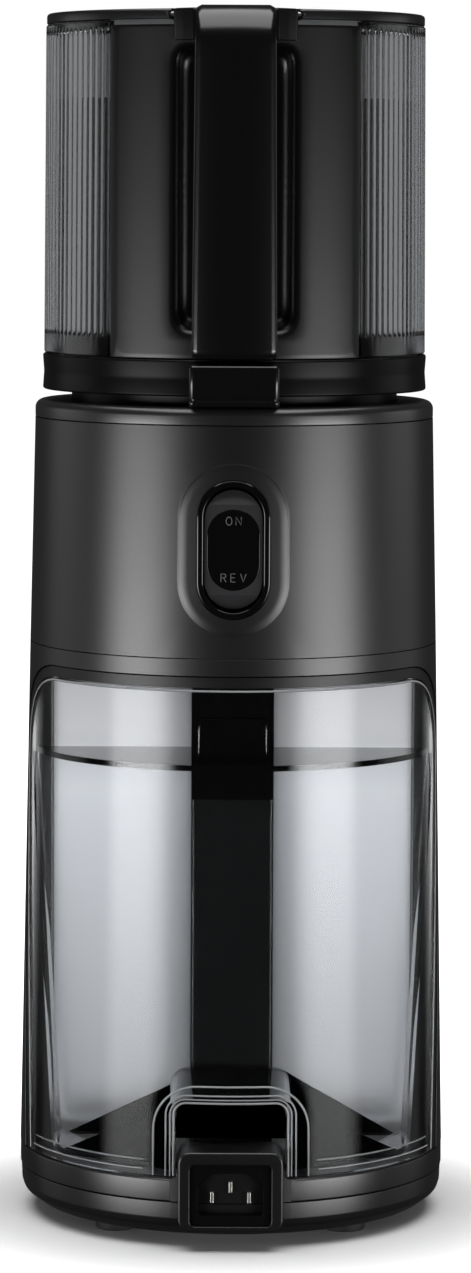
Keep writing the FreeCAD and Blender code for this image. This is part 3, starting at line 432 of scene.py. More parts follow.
NODE_FINISHES = [
    (BASE_BLACK, "base_cover base_ring inlet_housing"), (RUBBER, "rubber_feet"), (BOARD, "control_board"),
    (STEEL, "base_screws gear_screws output_shaft hinge_pin block_screws"), (INSERT_BLACK, "inlet_socket"),
    (FRAME_BLACK, "ceiling_plate divider pillars arch_trims pulp_duct juice_duct switch_body gear_case"),
    (FRAME_BLACK, "bowl_wall strainer"), (PLATED, "inlet_pins shaft_bearing"), (LACQUER, "motor_can"),
    (SATIN_BODY, "lower_shell body_shell"), (TOP_FACE, "top_cover"),
    (GLOSS_BLACK, "switch_bezel rocker_face container_cover drum"), (ROCKER_GREY, "switch_rocker"),
    (SILICONE, "shaft_seal drum_seal lid_gasket"), (CLEAR, "pulp_container juice_jug"), (SMOKED, "hopper"),
    (SATIN_PANEL, "rear_panel hinge_shoulder"), (HANDLE_BLACK, "handle_strap handle_block"),
    (SCREW_BLACK, "screw"), (LID_BLACK, "lid"),
]
for finish, nodes in NODE_FINISHES:
    for node_name in nodes.split():
        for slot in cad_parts[node_name].material_slots:
            slot.material = finish


# Body and base

def skin_plate(phi, z, inset, wall):
    """Plate of the body's skin over a grid of angles and heights, inset from the outer surface."""
    r = body_r(z) - inset
    return slab_mesh(round_about(phi, r, z), round_about(phi, r - wall, z))


def lower_skin():
    """Skin between the windows: rows run from the window's outline to the side line and the flat seam."""
    phi_in, z_in = window_half(4.5)
    top = np.linspace(phi_in[-1], 0, 30)[1:]
    phi_in, z_in = np.concatenate([phi_in, top]), np.concatenate([z_in, np.full(29, z_in[-1])])
    side, corner = 26, 25
    rise, turn = z_in[side - 1], phi_in[side + corner - 1]
    up = np.minimum(np.arange(1, corner + 1) / 13, 1)
    across = np.maximum(np.arange(1, corner + 1) - 13, 0) / 12
    phi_out = np.concatenate([np.full(side, math.pi / 2), math.pi / 2 + (turn - math.pi / 2) * across, top])
    z_out = np.concatenate([z_in[:side], rise + (SEAM_Z - rise) * up, np.full(29, SEAM_Z)])
    s = np.linspace(0, 1, 14)[:, None]
    phi, z = phi_in + (phi_out - phi_in) * s, z_in + (z_out - z_in) * s
    quarters = [round_about(a, body_r(z), z) for a in (phi, -phi, math.pi - phi, math.pi + phi)]
    return merged([(q, quads(*q.shape[:2], False, False)) for q in quarters])


def arch_trim_bands():
    """Recessed bands between two offsets of the window's outline, rear and front."""
    (phi0, z0), (phi1, z1) = window_line(0.0), window_line(4.2)
    s = np.linspace(0, 1, 4)[:, None]
    phi, z = phi0 + (phi1 - phi0) * s, z0 + (z1 - z0) * s
    return merged([skin_plate(phi + turn, z, 0.6, 2.7) for turn in (0, math.pi)])


def upper_skin():
    """Upper skin as one sheet: rings from the switch well over the boss to a frame, then round the body."""
    z0, z1, edge = SEAM_Z + 0.3, TOP_Z - 0.3, math.radians(26)
    mid = SWITCH_Z
    ring_in, ring_flat, ring_out = (stadium(r, half, mid) for r,
                                    half in ((13.9, 12.2), (19.9, 11.7), (20.7, 11.7)))
    a = np.arctan2(ring_out[:, 1] - mid, ring_out[:, 0])
    width = body_r(mid) * math.sin(edge)
    hit = np.minimum(width / np.maximum(np.abs(np.cos(a)), 1e-9),
                     np.where(a > 0, z1 - mid, mid - z0) / np.maximum(np.abs(np.sin(a)), 1e-9))
    frame_ring = np.stack([hit * np.cos(a), mid + hit * np.sin(a)], -1)
    for cx in (-width, width):
        for cz in (z0, z1):
            frame_ring[np.argmin(np.hypot(frame_ring[:, 0] - cx, frame_ring[:, 1] - cz))] = cx, cz
    spread = np.concatenate([[0.0, 0.02], np.linspace(0, 1, 7)[1:]])[:, None, None]
    steps = np.concatenate([ring_in[None], (ring_in + (ring_flat - ring_in) * 0.5)[None], ring_flat[None],
                            (ring_flat + (ring_out - ring_flat) * 0.5)[None],
                            ring_out[None] + (frame_ring - ring_out)[None] * spread])
    x, z = steps[..., 0], steps[..., 1]
    r = body_r(z)
    phi_skin = np.arcsin(np.clip(x / body_r(mid), -1, 1))
    skin = round_about(phi_skin, r, z)
    share = np.zeros(len(steps))
    share[:3], share[3] = 1.0, 0.5
    skin[..., :2] *= (1 + 0.35 * share / 78)[:, None, None]
    left = np.abs(frame_ring[:, 0] + width) < 1e-6
    rows = np.sort(np.unique(np.round(np.concatenate([frame_ring[left, 1], [z0, z1]]), 9)))
    grid_phi, grid_z = np.meshgrid(np.linspace(edge, TAU - edge, 130), rows)
    rest = round_about(grid_phi, body_r(grid_z), grid_z)
    return merged([(skin.reshape(-1, 3), quads(*skin.shape[:2], False, True)),
                   (rest.reshape(-1, 3), quads(*rest.shape[:2], False, False))])


TRAY_LINE = [(70.0, 4.5), (75.5, 4.5), (81.2, 8.6), (82.1, 11.5), (82.4, 17.85), (79.8, 17.85)]
TRAY_EDGE = rounded_outline(TRAY_LINE, [0, 3, 3, 3, 0.4, 0])


def make_body():
    mesh_of("lower_skin", *lower_skin(), SATIN_BODY, "base", "body_plastic", bevel=0.35, node="lower_shell",
            wall=2.8)
    mesh_of("arch_bands", *arch_trim_bands(), FRAME_BLACK, "base", "frame_plastic", bevel=0.25,
            node="arch_trims")
    mesh_of("upper_skin", *upper_skin(), SATIN_BODY, "base", "body_plastic", node="body_shell", smooth=50,
            wall=2.8)

    seat = 63.3
    cover = rounded_outline([(9, 310.5), (77.05, 310.5), (77.05, 317.0), (seat, 317.0), (seat, 313.7),
                             (9, 313.7)],
                            [0, 0.3, 3.4, 0.4, 0, 0], 10)
    mesh_of("top_shoulder", *turned(cover), TOP_FACE, "base", "top_plastic", node="top_cover")

    gap = math.asin(22.8 / 82.4)
    tray = rounded_outline(TRAY_LINE + [(79.2, 11.5), (75.0, 7.1), (70.0, 7.1)],
                           [0, 3, 3, 3, 0.4, 0.3, 1, 1, 0])
    floor_disc = rounded_outline([(8, 4.5), (70.0, 4.5), (70.0, 7.1), (8, 7.1)], [0, 0, 0, 0])
    mesh_of("base_tray", *merged([turned(tray, gap, TAU - gap, 170), turned(floor_disc)]), BASE_BLACK,
            "base",
            "black_plastic", node="base_cover")
    ring = rounded_outline([(60.0, 24.0), (79.9, 24.0), (79.9, 18.15), (82.7, 18.15), (82.7, 26.6),
                            (60.0, 26.6)],
                           [0, 0.3, 0.3, 0.4, 0.9, 0])
    deck = rounded_outline([(2, 24.0), (60.0, 24.0), (60.0, 26.6), (2, 26.6)], [0, 0, 0, 0])
    mesh_of("base_band", *merged([turned(ring, gap, TAU - gap, 170), turned(deck)]), BASE_BLACK, "base",
            "black_plastic", node="base_ring")
    foot = rounded_outline([(0.05, 0), (8, 0), (8, 6), (0.05, 6)], [0, 0.9, 0.2, 0], 5)
    feet = [shifted(turned(foot, steps=48), 62 * math.sin(a), 62 * math.cos(a), 0)
            for a in np.radians([45, 135, 225, 315])]
    mesh_of("feet", *merged(feet), RUBBER, "base", "foot_rubber", node="rubber_feet")


# Mains inlet and switch

def block_mesh(x0, x1, y0, y1, z0, z1):
    """Box as four outlines carried up."""
    plan = np.array([(x0, y0), (x1, y0), (x1, y1), (x0, y1)], float)
    return rings_mesh([np.column_stack([plan, np.full(4, z)]) for z in (z0, z1)])


def make_inlet():
    """Housing, insert and mouth: outlines carried along Y over a rounded edge and down to a floor."""
    out = 87.6
    edge = [(rect_ring(19.8 - k, 8.0 + k, 38.5 - k, 4.5 - k), -y) for k, y in round_edge(0.9, out)]
    rim = [(rect_ring(15.4 + k, 10.2 - k, 33.8 + k, 2.0 + k), -y) for k, y in round_edge(0.35, out)[::-1]]
    housing = along_y([(rect_ring(19.8, 8.0, 38.5, 4.5), -67.2)] + edge + rim
                      + [(rect_ring(15.4, 10.2, 33.8, 2.0), -69.6)])
    x = np.concatenate([np.linspace(-22.8, -19.8, 9), np.linspace(-19.0, 19.0, 9),
                        np.linspace(19.8, 22.8, 9)])
    crest = 29.6 - np.sqrt(np.maximum(9 - np.clip(22.8 - np.abs(x), 0, 3) ** 2, 0)) * (np.abs(x) >= 19.79)
    root = [slab_mesh(*[np.stack([np.broadcast_to(x, z.shape), -y, z], -1) for y in (
        np.sqrt(82.7 ** 2 - x ** 2) + 0 * z, 67.3 + 0 * z)])
        for z in [18.15 + (crest - 18.15) * np.linspace(0, 1, 4)[:, None]]]
    edge_r, edge_z = TRAY_EDGE.T
    rim_y = np.sqrt(edge_r[:, None] ** 2 - x[None, :] ** 2)
    shelf = np.stack([np.broadcast_to(x, rim_y.shape), -rim_y,
                      np.broadcast_to(edge_z[:, None], rim_y.shape)], -1)
    inner = shelf.copy()
    inner[..., 1] = -66.0
    mesh_of("inlet_box", *merged([housing, *root, slab_mesh(shelf, inner)]), BASE_BLACK, "base",
            "black_plastic", node="inlet_housing")
    mouth = np.array([(-12.2, 14.2), (12.2, 14.2), (12.2, 25.4), (7.2, 30.4), (-7.2, 30.4), (-12.2, 25.4)])
    ring = by_angle(rounded_outline(mouth, 0.8), 0, 22.0)
    block = by_angle(rect_ring(15.3, 10.3, 33.7, 1.9), 0, 22.0)
    wide = (ring - [0, 22.0]) * 1.03 + [0, 22.0]
    blades = [block_mesh(x - 0.65, x + 0.65, -84.3, -71.4, z - 2.1, z + 2.1)
              for x, z in ((-7, 20.6), (0, 24.6), (7, 20.6))]
    mesh_of("inlet_blades", *merged(blades), PLATED, "base", "pin_metal", node="inlet_pins", bevel=0.25)
    mesh_of("inlet_insert",
            *along_y([(block, -70.2), (block, -86.3), (wide, -86.3), (ring, -85.8), (ring, -71.4)]),
            INSERT_BLACK, "base", "black_plastic", node="inlet_socket", smooth=30)


def make_switch():
    mid, face = SWITCH_Z, 78.85
    bezel = [(stadium(13.8 - k, 12.2, mid), -y) for k, y in round_edge(0.8, face)]
    lip = [(stadium(11.3 + k, 12.2, mid), -y) for k, y in round_edge(0.5, face)[::-1]]
    rings = [(stadium(13.8, 12.2, mid), -66.2)] + bezel + lip + [(stadium(11.3, 12.2, mid), -66.2)]
    mesh_of("switch_ring", *along_y(rings, closed=True), GLOSS_BLACK, "base", "gloss_black",
            node="switch_bezel")

    dz = np.unique(np.concatenate([np.linspace(-22.25, 22.25, 40), [-16.9, 16.9], 11.5 + 10.75 * np.sin(
        np.linspace(0, math.pi / 2, 10)), -11.5 - 10.75 * np.sin(np.linspace(0, math.pi / 2, 10))]))
    over = np.maximum(np.abs(dz) - 11.5, 0)
    half = np.maximum(np.sqrt(np.maximum(10.75 ** 2 - over ** 2, 0)), 0.02)
    s = np.sin(np.linspace(-math.pi / 2, math.pi / 2, 33))
    front_y = 77.25 - 2.4 * np.clip((np.abs(dz) - 16.9) / 5.35, 0, 1)
    x = half[:, None] * s[None, :]
    near = np.clip((np.abs(x) - (half[:, None] - 0.7)) / 0.7, 0, 1)
    front = np.stack([x, -(front_y[:, None] - 0.7 * (1 - np.sqrt(1 - near ** 2))),
                      np.broadcast_to((mid + dz)[:, None], x.shape)], -1)
    back = front.copy()
    back[..., 1] = -73.3
    mesh_of("rocker_pad", *slab_mesh(front, back), ROCKER_GREY, "rocker", "rocker_grey", smooth=35)
    inlay = [(stadium(9.85 - k, 5.4, mid), -y) for k, y in round_edge(0.25, 77.5, 4)]
    mesh_of("rocker_inlay", *along_y([(stadium(9.85, 5.4, mid), -77.0)] + inlay), GLOSS_BLACK, "rocker",
            "gloss_black", node="rocker_face")
    mesh_of("rocker_words", *merged(words("ON", 0, mid + 9.3, 3.0) + words("REV", 0, mid - 11.9, 3.0)),
            LETTER, "rocker",
            "gloss_black", smooth=30)


LETTERS = {
    "O": [np.stack([0.36 + 0.36 * np.cos(np.linspace(0, TAU, 25)),
                    0.5 + 0.5 * np.sin(np.linspace(0, TAU, 25))], -1)],
    "N": [[(0, 0), (0, 1), (0.66, 0), (0.66, 1)]],
    "R": [[(0, 0), (0, 1), (0.38, 1), (0.55, 0.92), (0.6, 0.76), (0.55, 0.6), (0.38, 0.52), (0, 0.52)],
          [(0.32, 0.52), (0.62, 0)]],
    "E": [[(0.56, 1), (0, 1), (0, 0), (0.56, 0)], [(0, 0.52), (0.48, 0.52)]],
    "V": [[(0, 1), (0.34, 0), (0.68, 1)]],
}


def words(text, x, z, size):
    """Raised strokes of a word centred at x, with its feet at z, on the rocker's face."""
    step, weight = 1.22 * size, 0.17
    start = x - (len(text) * step - 0.58 * size) / 2
    strokes = []
    for k, letter in enumerate(text):
        for line in LETTERS[letter]:
            p = np.asarray(line, float) * size + [start + k * step, z]
            d = np.gradient(p, axis=0)
            n = np.stack([-d[:, 1], d[:, 0]], -1) / np.linalg.norm(d, axis=1)[:, None] * weight
            a, b = p + n, p - n
            ring = [np.stack([a[:, 0], np.full(len(a), y), a[:, 1]], -1) for y in (-77.56, -77.42)]
            other = [np.stack([b[:, 0], np.full(len(b), y), b[:, 1]], -1) for y in (-77.42, -77.56)]
            strokes.append(rings_mesh(np.stack(ring + other, 1)))
    return strokes


# Containers

def arch_grid(inner_phi, inner_z, outer_phi, outer_z, rows=20):
    """Grid of angles and heights ruled from the outer arch line to the inner one."""
    s = np.linspace(0, 1, rows)[:, None]
    return outer_phi + (inner_phi - outer_phi) * s, outer_z + (inner_z - outer_z) * s


def notch_line(half, top, round_r, count, foot=27.2):
    """Outline of the arched passage from its left foot over its top to the right, as angle and height."""
    path = rounded_outline([(-half, foot), (-half, top), (half, top), (half, foot)],
                           [0, round_r, round_r, 0], 14)
    path = path[(path[:, 1] > foot - 1e-6)]
    run = np.concatenate([[0], np.cumsum(np.linalg.norm(np.diff(path, axis=0), axis=1))])
    at = np.linspace(0, run[-1], count)
    x, z = np.interp(at, run, path[:, 0]), np.interp(at, run, path[:, 1])
    return np.arcsin(x / body_r(z)), z


def curved_front(notch):
    """Curved front wall of a container: ruled from the window's outline down to the notch."""
    phi, z = window_line(-0.4, foot_z=27.2)
    order = slice(None) if phi[0] < phi[-1] else slice(None, None, -1)
    phi, z = phi[order], z[order]
    if notch:
        phi_in, z_in = notch_line(21.7, 55.2, 4.5, len(phi))
        bead_phi, bead_z = notch_line(30.2, 62.6, 17.0, len(phi))
    else:
        phi_in = np.linspace(phi[0], phi[-1], len(phi)) * 0.97
        z_in = np.full(len(phi), 27.25)
        bead_phi, bead_z = phi_in + (phi - phi_in) * 0.05, z_in + (z - z_in) * 0.05
    grid_phi, grid_z = arch_grid(bead_phi, bead_z, phi, z)
    r = body_r(grid_z) - 0.5
    r[0] -= 0.35
    edge_phi = grid_phi[0] + (grid_phi[1] - grid_phi[0]) * 0.03
    edge_z = grid_z[0] + (grid_z[1] - grid_z[0]) * 0.03
    rows = [round_about(grid_phi[0], r[0], grid_z[0]), round_about(edge_phi, body_r(edge_z) - 0.5, edge_z)]
    rows += [round_about(p, q, h) for p, q, h in zip(grid_phi[1:], r[1:], grid_z[1:])]
    if notch:
        mid_phi, mid_z = notch_line(25.2, 58.8, 8.0, len(phi))
        rows += [round_about(mid_phi, body_r(mid_z) - 1.3, mid_z),
                 round_about(phi_in, body_r(z_in) - 1.7, z_in)]
    outer = np.stack(rows)
    radius = np.hypot(outer[..., 0], outer[..., 1])
    inner = outer.copy()
    inner[..., :2] *= ((radius - 2.3) / radius)[..., None]
    return slab_mesh(outer, inner)


def bead(phi, z, inset, size):
    """Thin round bead along a line on the body's surface: circles across the line, at a small inset."""
    path = round_about(phi, body_r(z) - inset, z)
    along = np.gradient(path, axis=0)
    along /= np.linalg.norm(along, axis=1)[:, None]
    out = path * [1, 1, 0] / np.hypot(path[:, 0], path[:, 1])[:, None]
    side = np.cross(along, out)
    a = np.linspace(0, TAU, 8, endpoint=False)[None, :, None]
    return rings_mesh(path[:, None] + size * (np.cos(a) * out[:, None] + np.sin(a) * side[:, None]))


def edge_beads():
    """Beads along the container's front: along the window and both edges of the notch's flange. Their grey
    colour is a painted highlight of the clear edges; their reflections of the lamps are real.
    """
    low = np.radians(np.linspace(24, 68, 40))
    lines = [(*window_line(-1.1, foot_z=27.6), 0.75, 0.42),
             (*notch_line(29.6, 62.2, 17.0, 90, 27.6), 0.75, 0.42),
             (*notch_line(25.0, 58.6, 8.0, 90, 27.6), 1.3, 0.35),
             (*notch_line(23.4, 57.0, 6.2, 90, 27.6), 1.6, 0.3),
             (*notch_line(22.1, 55.7, 5.0, 90, 27.6), 1.75, 0.45), (low, np.full(40, 33.0), 2.4, 0.35),
             (-low, np.full(40, 33.0), 2.4, 0.35), (low, np.full(40, 29.8), 0.8, 0.35),
             (-low, np.full(40, 29.8), 0.8, 0.35)]
    return merged([bead(*line) for line in lines])


def cup_walls(notch):
    """Sides, back, floor and passage of a cup: one wall section carried from the back to the front."""
    base_line = [(-68.0, 29.5), (68.0, 29.5)]
    if notch:
        base_line = [(-68.0, 29.5), (-21.5, 29.5), (-21.5, 55.0), (21.5, 55.0), (21.5, 29.5), (68.0, 29.5)]
    outer = rounded_outline([(-76.4, CUP_TOP)] + base_line + [(76.4, CUP_TOP)],
                            [0, 5] + ([1.5, 4.5, 4.5, 1.5] if notch else []) + [5, 0], 8)
    step = np.gradient(outer, axis=0)
    normal = np.stack([-step[:, 1], step[:, 0]], -1) / np.linalg.norm(step, axis=1)[:, None]
    inner = outer + normal * 2.2
    inner[[0, -1], 1] = CUP_TOP
    section = np.concatenate([outer, inner[::-1]])
    x, z = section.T
    y_front = -np.sqrt(np.maximum((body_r(z) - 3.0) ** 2 - x ** 2, 17.0 ** 2))
    y_back = np.full_like(x, -BACK_Y)
    rings = [np.stack([x, y_back + (y_front - y_back) * t, z], -1) for t in np.linspace(0, 1, 8)]
    walls = rings_mesh(rings)
    left, right = outer[:len(outer) // 2], outer[::-1][:len(outer) // 2]
    sheet = np.stack([left, right])
    sheet = sheet[0] + (sheet[1] - sheet[0]) * np.linspace(0, 1, 9)[:, None, None]
    back = np.stack([sheet[..., 0], np.full(sheet.shape[:2], -BACK_Y - 0.05), sheet[..., 1]], -1)
    front = back.copy()
    front[..., 1] = -BACK_Y - 2.2
    return merged([walls, slab_mesh(back, front)])


def spout():
    """Pouring lip: the outer half of a cone about an upright axis, with an even wall."""
    phi = np.radians(np.linspace(-58, 58, 33))
    s = np.linspace(0, 1, 12)[:, None]
    r, z = 5.0 + 10.0 * s, 188.1 + 24.0 * s
    axis = 71.6
    outer = np.stack([r * np.sin(phi), axis + r * np.cos(phi), np.broadcast_to(z, (12, 33))], -1)
    inner = np.stack([(r - 2.0) * np.sin(phi), axis + (r - 2.0) * np.cos(phi), np.broadcast_to(z, (12, 33))],
                     -1)
    return slab_mesh(outer, inner)


def make_divider():
    column = rounded_outline([(-16, -14), (16, -14), (16, 14), (-16, 14)], 1.5, 6)
    mesh_of("divider_column",
            *rings_mesh([np.column_stack([column, np.full(len(column), z)]) for z in (26.6, 213.3)]),
            FRAME_BLACK, "base", "frame_plastic", node="divider", smooth=30)
    walls = [block_mesh(x0, x1, -3, 3, 26.6, 213.3) for x0, x1 in ((-69.7, -16.05), (16.05, 69.7))]
    mesh_of("divider_walls", *merged(walls), FROSTED_PAINTED_SHADING, "base", "clear_container", node="divider", smooth=30)


def chute_frame():
    """Raised frame on the chute's rear face, with a bar across it."""
    rings = [(rect_ring(14.2 - k, 177.6 + k, 199.4 - k, 3.2), -58.0 - h) for k, h in
             ((0, -0.05), (0.1, 0.9), (0.4, 1.2), (1.3, 1.2), (1.7, 0.9), (1.8, -0.05))]
    bar = rings_mesh([[(x, -58.0, 188.4), (x, -59.0, 188.6), (x, -59.0, 189.3),
                       (x, -58.0, 189.5)] for x in (-12.5, 12.5)])
    return merged([along_y(rings, closed=True), bar])


def make_containers():
    # Grey beads: painted highlight along the clear container's edges, with real reflections of the lamps.
    mesh_of("cup_edges", *edge_beads(), EDGE_GREY_PAINTED_HIGHLIGHT, "container", "clear_container", smooth=60)
    mesh_of("chute_frame", *chute_frame(), GLOSS_BLACK, "container", "gloss_black", smooth=35)
    mesh_of("pulp_cup", *merged([curved_front(True), cup_walls(True)]), CLEAR, "container",
            "clear_container",
            node="pulp_container", smooth=35)
    cup, faces = merged([curved_front(False), cup_walls(False)])
    cup = cup * [-1, -1, 1]
    mesh_of("juice_cup", *merged([(cup, faces), spout()]), CLEAR, "jug", "clear_container", node="juice_jug",
            smooth=35)


# Head

def fluted_wall():
    """Hopper wall: the outer radius dips between the flutes, and the dips fade out at both ends."""
    start = math.radians(40.0) + 0.35 / 73.6
    count = 109
    u = np.linspace(0, count, count * 8 + 1)
    phi = start + (TAU - 2 * start) * u / count
    levels = np.array([335.0, 335.6, 342.2, 342.8, 343.4, 344.2, 346, 380, 420, 455, 456.6, 457.2, 457.6,
                       459.6, 460.2])
    depth = np.interp(levels, [342.6, 343.6, 456.4, 457.6], [0, 1, 1, 0]) * 0.85
    base = np.interp(levels, [335.0, 460.2], [73.65, 72.9])
    base = base - np.interp(levels, [335.0, 335.6, 459.6, 460.2], [0.5, 0, 0, 0.5])
    dip = np.abs(2 * (u % 1.0) - 1) ** 2.4
    r = base[:, None] - depth[:, None] * dip[None, :]
    outer = round_about(phi[None, :], r, levels[:, None])
    inner = round_about(phi[None, :], np.broadcast_to(base[:, None] - 2.6, r.shape), levels[:, None])
    return slab_mesh(outer, inner)


def panel_sheet():
    """Rear panel and finger pocket as one sheet: rings from the pocket's floor over its lip to the edges."""
    mid, r0, turn = 398.0, 73.3, math.radians(39.7)
    corners = np.arctan2([60.6, 60.6, -62.9, -62.9], [r0 * turn, -r0 * turn, -r0 * turn, r0 * turn])
    angles = np.sort(np.concatenate([np.linspace(-math.pi, math.pi, 200, endpoint=False), corners]))

    def ring(half, low, high, corner, depth, flat=None):
        p = by_angle(rect_ring(half, low, high, corner), 0, mid, angles)
        y = np.full(len(p), flat) if flat else -np.cos(p[:, 0] / r0) * r0 + depth
        x = p[:, 0] if flat else np.sin(p[:, 0] / r0) * (r0 - depth)
        return np.stack([x, -y if flat else y, p[:, 1]], -1)

    rings = [ring(6, 380, 420, 2, 0, 52.1), ring(17.2, 350.0, 445.5, 3, 0, 52.0),
             ring(19.2, 348.6, 447.6, 4, 0, 52.5),
             ring(20.6, 347.4, 448.9, 5, 0, 54.5), ring(21.0, 346.8, 449.4, 5, 0, 60.0),
             ring(21.6, 346.2, 449.9, 5, 3.6), ring(21.9, 346.0, 450.2, 5.3, 2.2),
             ring(22.7, 345.2, 451.0, 6, 0.95),
             ring(23.8, 344.1, 452.1, 7, 0.3), ring(25.2, 342.7, 453.4, 8, 0.0)]
    for s in np.linspace(0.2, 1, 6):
        half, low, high = 25.2 + (r0 * turn - 0.5 - 25.2) * s, 342.7 - 6.9 * s, 453.4 + 4.8 * s
        rings.append(ring(half, low, high, 8 * (1 - s) + 0.4, 0.0))
    rings += [ring(r0 * turn - 0.12, 335.22, 458.5, 0.4, 0.12), ring(r0 * turn, 335.1, 458.6, 0.4, 0.5)]
    rings = np.stack(rings)
    m, n, _ = rings.shape
    return rings.reshape(-1, 3), quads(m, n, False, True) + [list(range(n))]


def strap_bar():
    """Handle strap: a section with chamfered edges carried down between the outer and inner side lines."""
    y1, top, low, bend, toe, thick = 90.5, 465.5, 335.0, 15.0, 4.0, 6.0
    a = np.linspace(0, math.pi / 2, 14)
    outer = np.concatenate([[(72.5, top)],
                            np.stack([y1 - bend + bend * np.sin(a), top - bend + bend * np.cos(a)], -1),
                            np.stack([np.full(16, y1), np.linspace(top - bend, low + toe, 18)[1:-1]], -1),
                            np.stack([y1 - toe + toe * np.cos(a), low + toe - toe * np.sin(a)], -1),
                            [(73.4, low)]])
    rin = bend - thick
    inner = np.concatenate([[(72.5, top - thick)],
                            np.stack([y1 - bend + rin * np.sin(a), top - bend + rin * np.cos(a)], -1),
                            np.stack([np.full(16, y1 - thick),
                                      np.linspace(top - bend, low + thick, 18)[1:-1]], -1),
                            np.tile([[y1 - thick, low + thick]], (14, 1)), [(73.4, low + thick)]])
    d = (inner - outer) / np.linalg.norm(inner - outer, axis=1)[:, None]
    w = np.interp(outer[:, 1], [low, top], [15.75, 14.75])[:, None]
    c = 1.0
    side = [(w - 2.2 * c, outer), (w - 0.55 * c, outer + d * 0.85 * c), (w, outer + d * 1.6 * c),
            (w, inner - d * 0.7), (w - 0.7, inner)]
    ring = [np.concatenate([x, -p[:, :1], p[:, 1:]], 1) for x, p in side]
    ring += [q * [-1, 1, 1] for q in ring[::-1]]
    return rings_mesh(np.stack(ring, 1))


def lid_plate():
    """Lid: its outline with the hinge slot carried up, drawn in at the top edge."""
    slot, depth, r = 23.6, 58.0, 72.65
    tip = math.asin((slot + 1.1) / r)
    phi = np.linspace(tip, TAU - tip, 190)
    ring = np.stack([r * np.sin(phi), -r * np.cos(phi)], -1)
    ends = rounded_outline([ring[0] - [0.9, -0.9], (slot, -depth), (-slot, -depth),
                            ring[-1] + [0.9, 0.9]][::-1],
                           [1.0, 1.5, 1.5, 1.0], 5)
    outline = np.concatenate([ring, ends])
    ahead, behind = np.roll(outline, -1, 0), np.roll(outline, 1, 0)
    step = ahead - behind
    size = np.maximum(np.linalg.norm(step, axis=1), 1e-9)[:, None]
    normal = np.stack([step[:, 1], -step[:, 0]], -1) / size
    rings = [np.concatenate([outline - normal * k, np.full((len(outline), 1), z)], 1)
             for k, z in ((0.35, 460.5), (0.0, 460.85), (0.0, 463.4), (0.25, 464.05), (0.8, 464.4))]
    return rings_mesh(rings)


def shoulder_piece():
    """Hinge shoulder: its plan narrows towards the strap, and its front is rounded about the hinge axis."""
    half = 23.0
    plan = rounded_outline([(-half, 59.0), (-half, 71.0), (-19.5, 74.6), (-15.95, 77.9), (15.95, 77.9),
                            (19.5, 74.6),
                            (half, 71.0), (half, 59.0)], [0.5, 3, 2.5, 0.4, 0.4, 2.5, 3, 0.5], 6)
    rings = []
    for k, z in ((0.4, 452.5), (0.0, 452.9), (0.0, 463.3), (0.3, 464.1), (0.9, 464.4)):
        centre = np.array([0, 68.0])
        ring = plan - (plan - centre) / np.maximum(np.abs(plan - centre).max(1), 1)[:, None] * k
        rings.append(np.stack([ring[:, 0], -ring[:, 1], np.full(len(ring), z)], -1))
    return rings_mesh(rings)


def block_piece():
    """Lower block of the handle with rounded edges and a step above its lower lip."""
    y_in = 68.6

    def ring(z, k):
        plan = rounded_outline([(-16.7 + k, y_in), (-16.7 + k, 90.0 - k), (16.7 - k, 90.0 - k),
                                (16.7 - k, y_in)],
                               [0.2, 1.8, 1.8, 0.2], 6)
        return np.stack([plan[:, 0], -plan[:, 1], np.full(len(plan), z)], -1)

    levels = [(318.0, 0.9), (318.3, 0.3), (318.9, 0.0), (320.0, 0.0), (320.2, 0.1), (320.3, 0.5),
              (320.8, 0.5),
              (320.9, 0.1), (321.1, 0.0), (332.2, 0.0), (332.9, 0.25), (333.4, 0.9)]
    return rings_mesh([ring(z, k) for z, k in levels])


def make_head():
    mesh_of("fluted_wall", *fluted_wall(), SMOKED, "head", "smoked_clear", node="hopper", smooth=35)
    ring = rounded_outline([(60.2, 317.0), (60.2, 334.7), (74.2, 334.7), (73.7, 327.8), (74.2, 321.0),
                            (63.0, 321.0),
                            (63.0, 314.0), (8.0, 314.0), (8.0, 317.0)],
                           [1.0, 0.6, 0.9, 12, 0.9, 0.5, 0.8, 0.3, 0.3], 8)
    mesh_of("drum_ring", *turned(ring), RING_BLACK, "head", "gloss_black", node="drum")
    mesh_of("panel_skin", *panel_sheet(), SATIN_PANEL, "head", "body_plastic", node="rear_panel", smooth=50,
            wall=2.0)
    mesh_of("strap_bar", *strap_bar(), HANDLE_BLACK, "head", "handle_plastic", node="handle_strap",
            smooth=28)
    mesh_of("strap_block", *block_piece(), HANDLE_BLACK, "head", "handle_plastic", node="handle_block",
            smooth=40)
    mesh_of("shoulder", *shoulder_piece(), SATIN_PANEL, "head", "body_plastic", node="hinge_shoulder",
            smooth=40)
    mesh_of("lid_plate", *lid_plate(), LID_BLACK, "lid", "lid_plastic", node="lid", smooth=40)


make_body()
make_inlet()
make_switch()
make_divider()
make_containers()
make_head()


# Floor, light and camera

def stage_sheet(name, grid, mat):
    grid = np.asarray(grid, float)
    mesh = bpy.data.meshes.new(name)
    mesh.from_pydata(grid.reshape(-1, 3).tolist(), [], quads(*grid.shape[:2], False, False))
    mesh.shade_smooth()
    mesh.materials.append(mat)
    piece = bpy.data.objects.new(name, mesh)
    bpy.context.collection.objects.link(piece)
    return piece


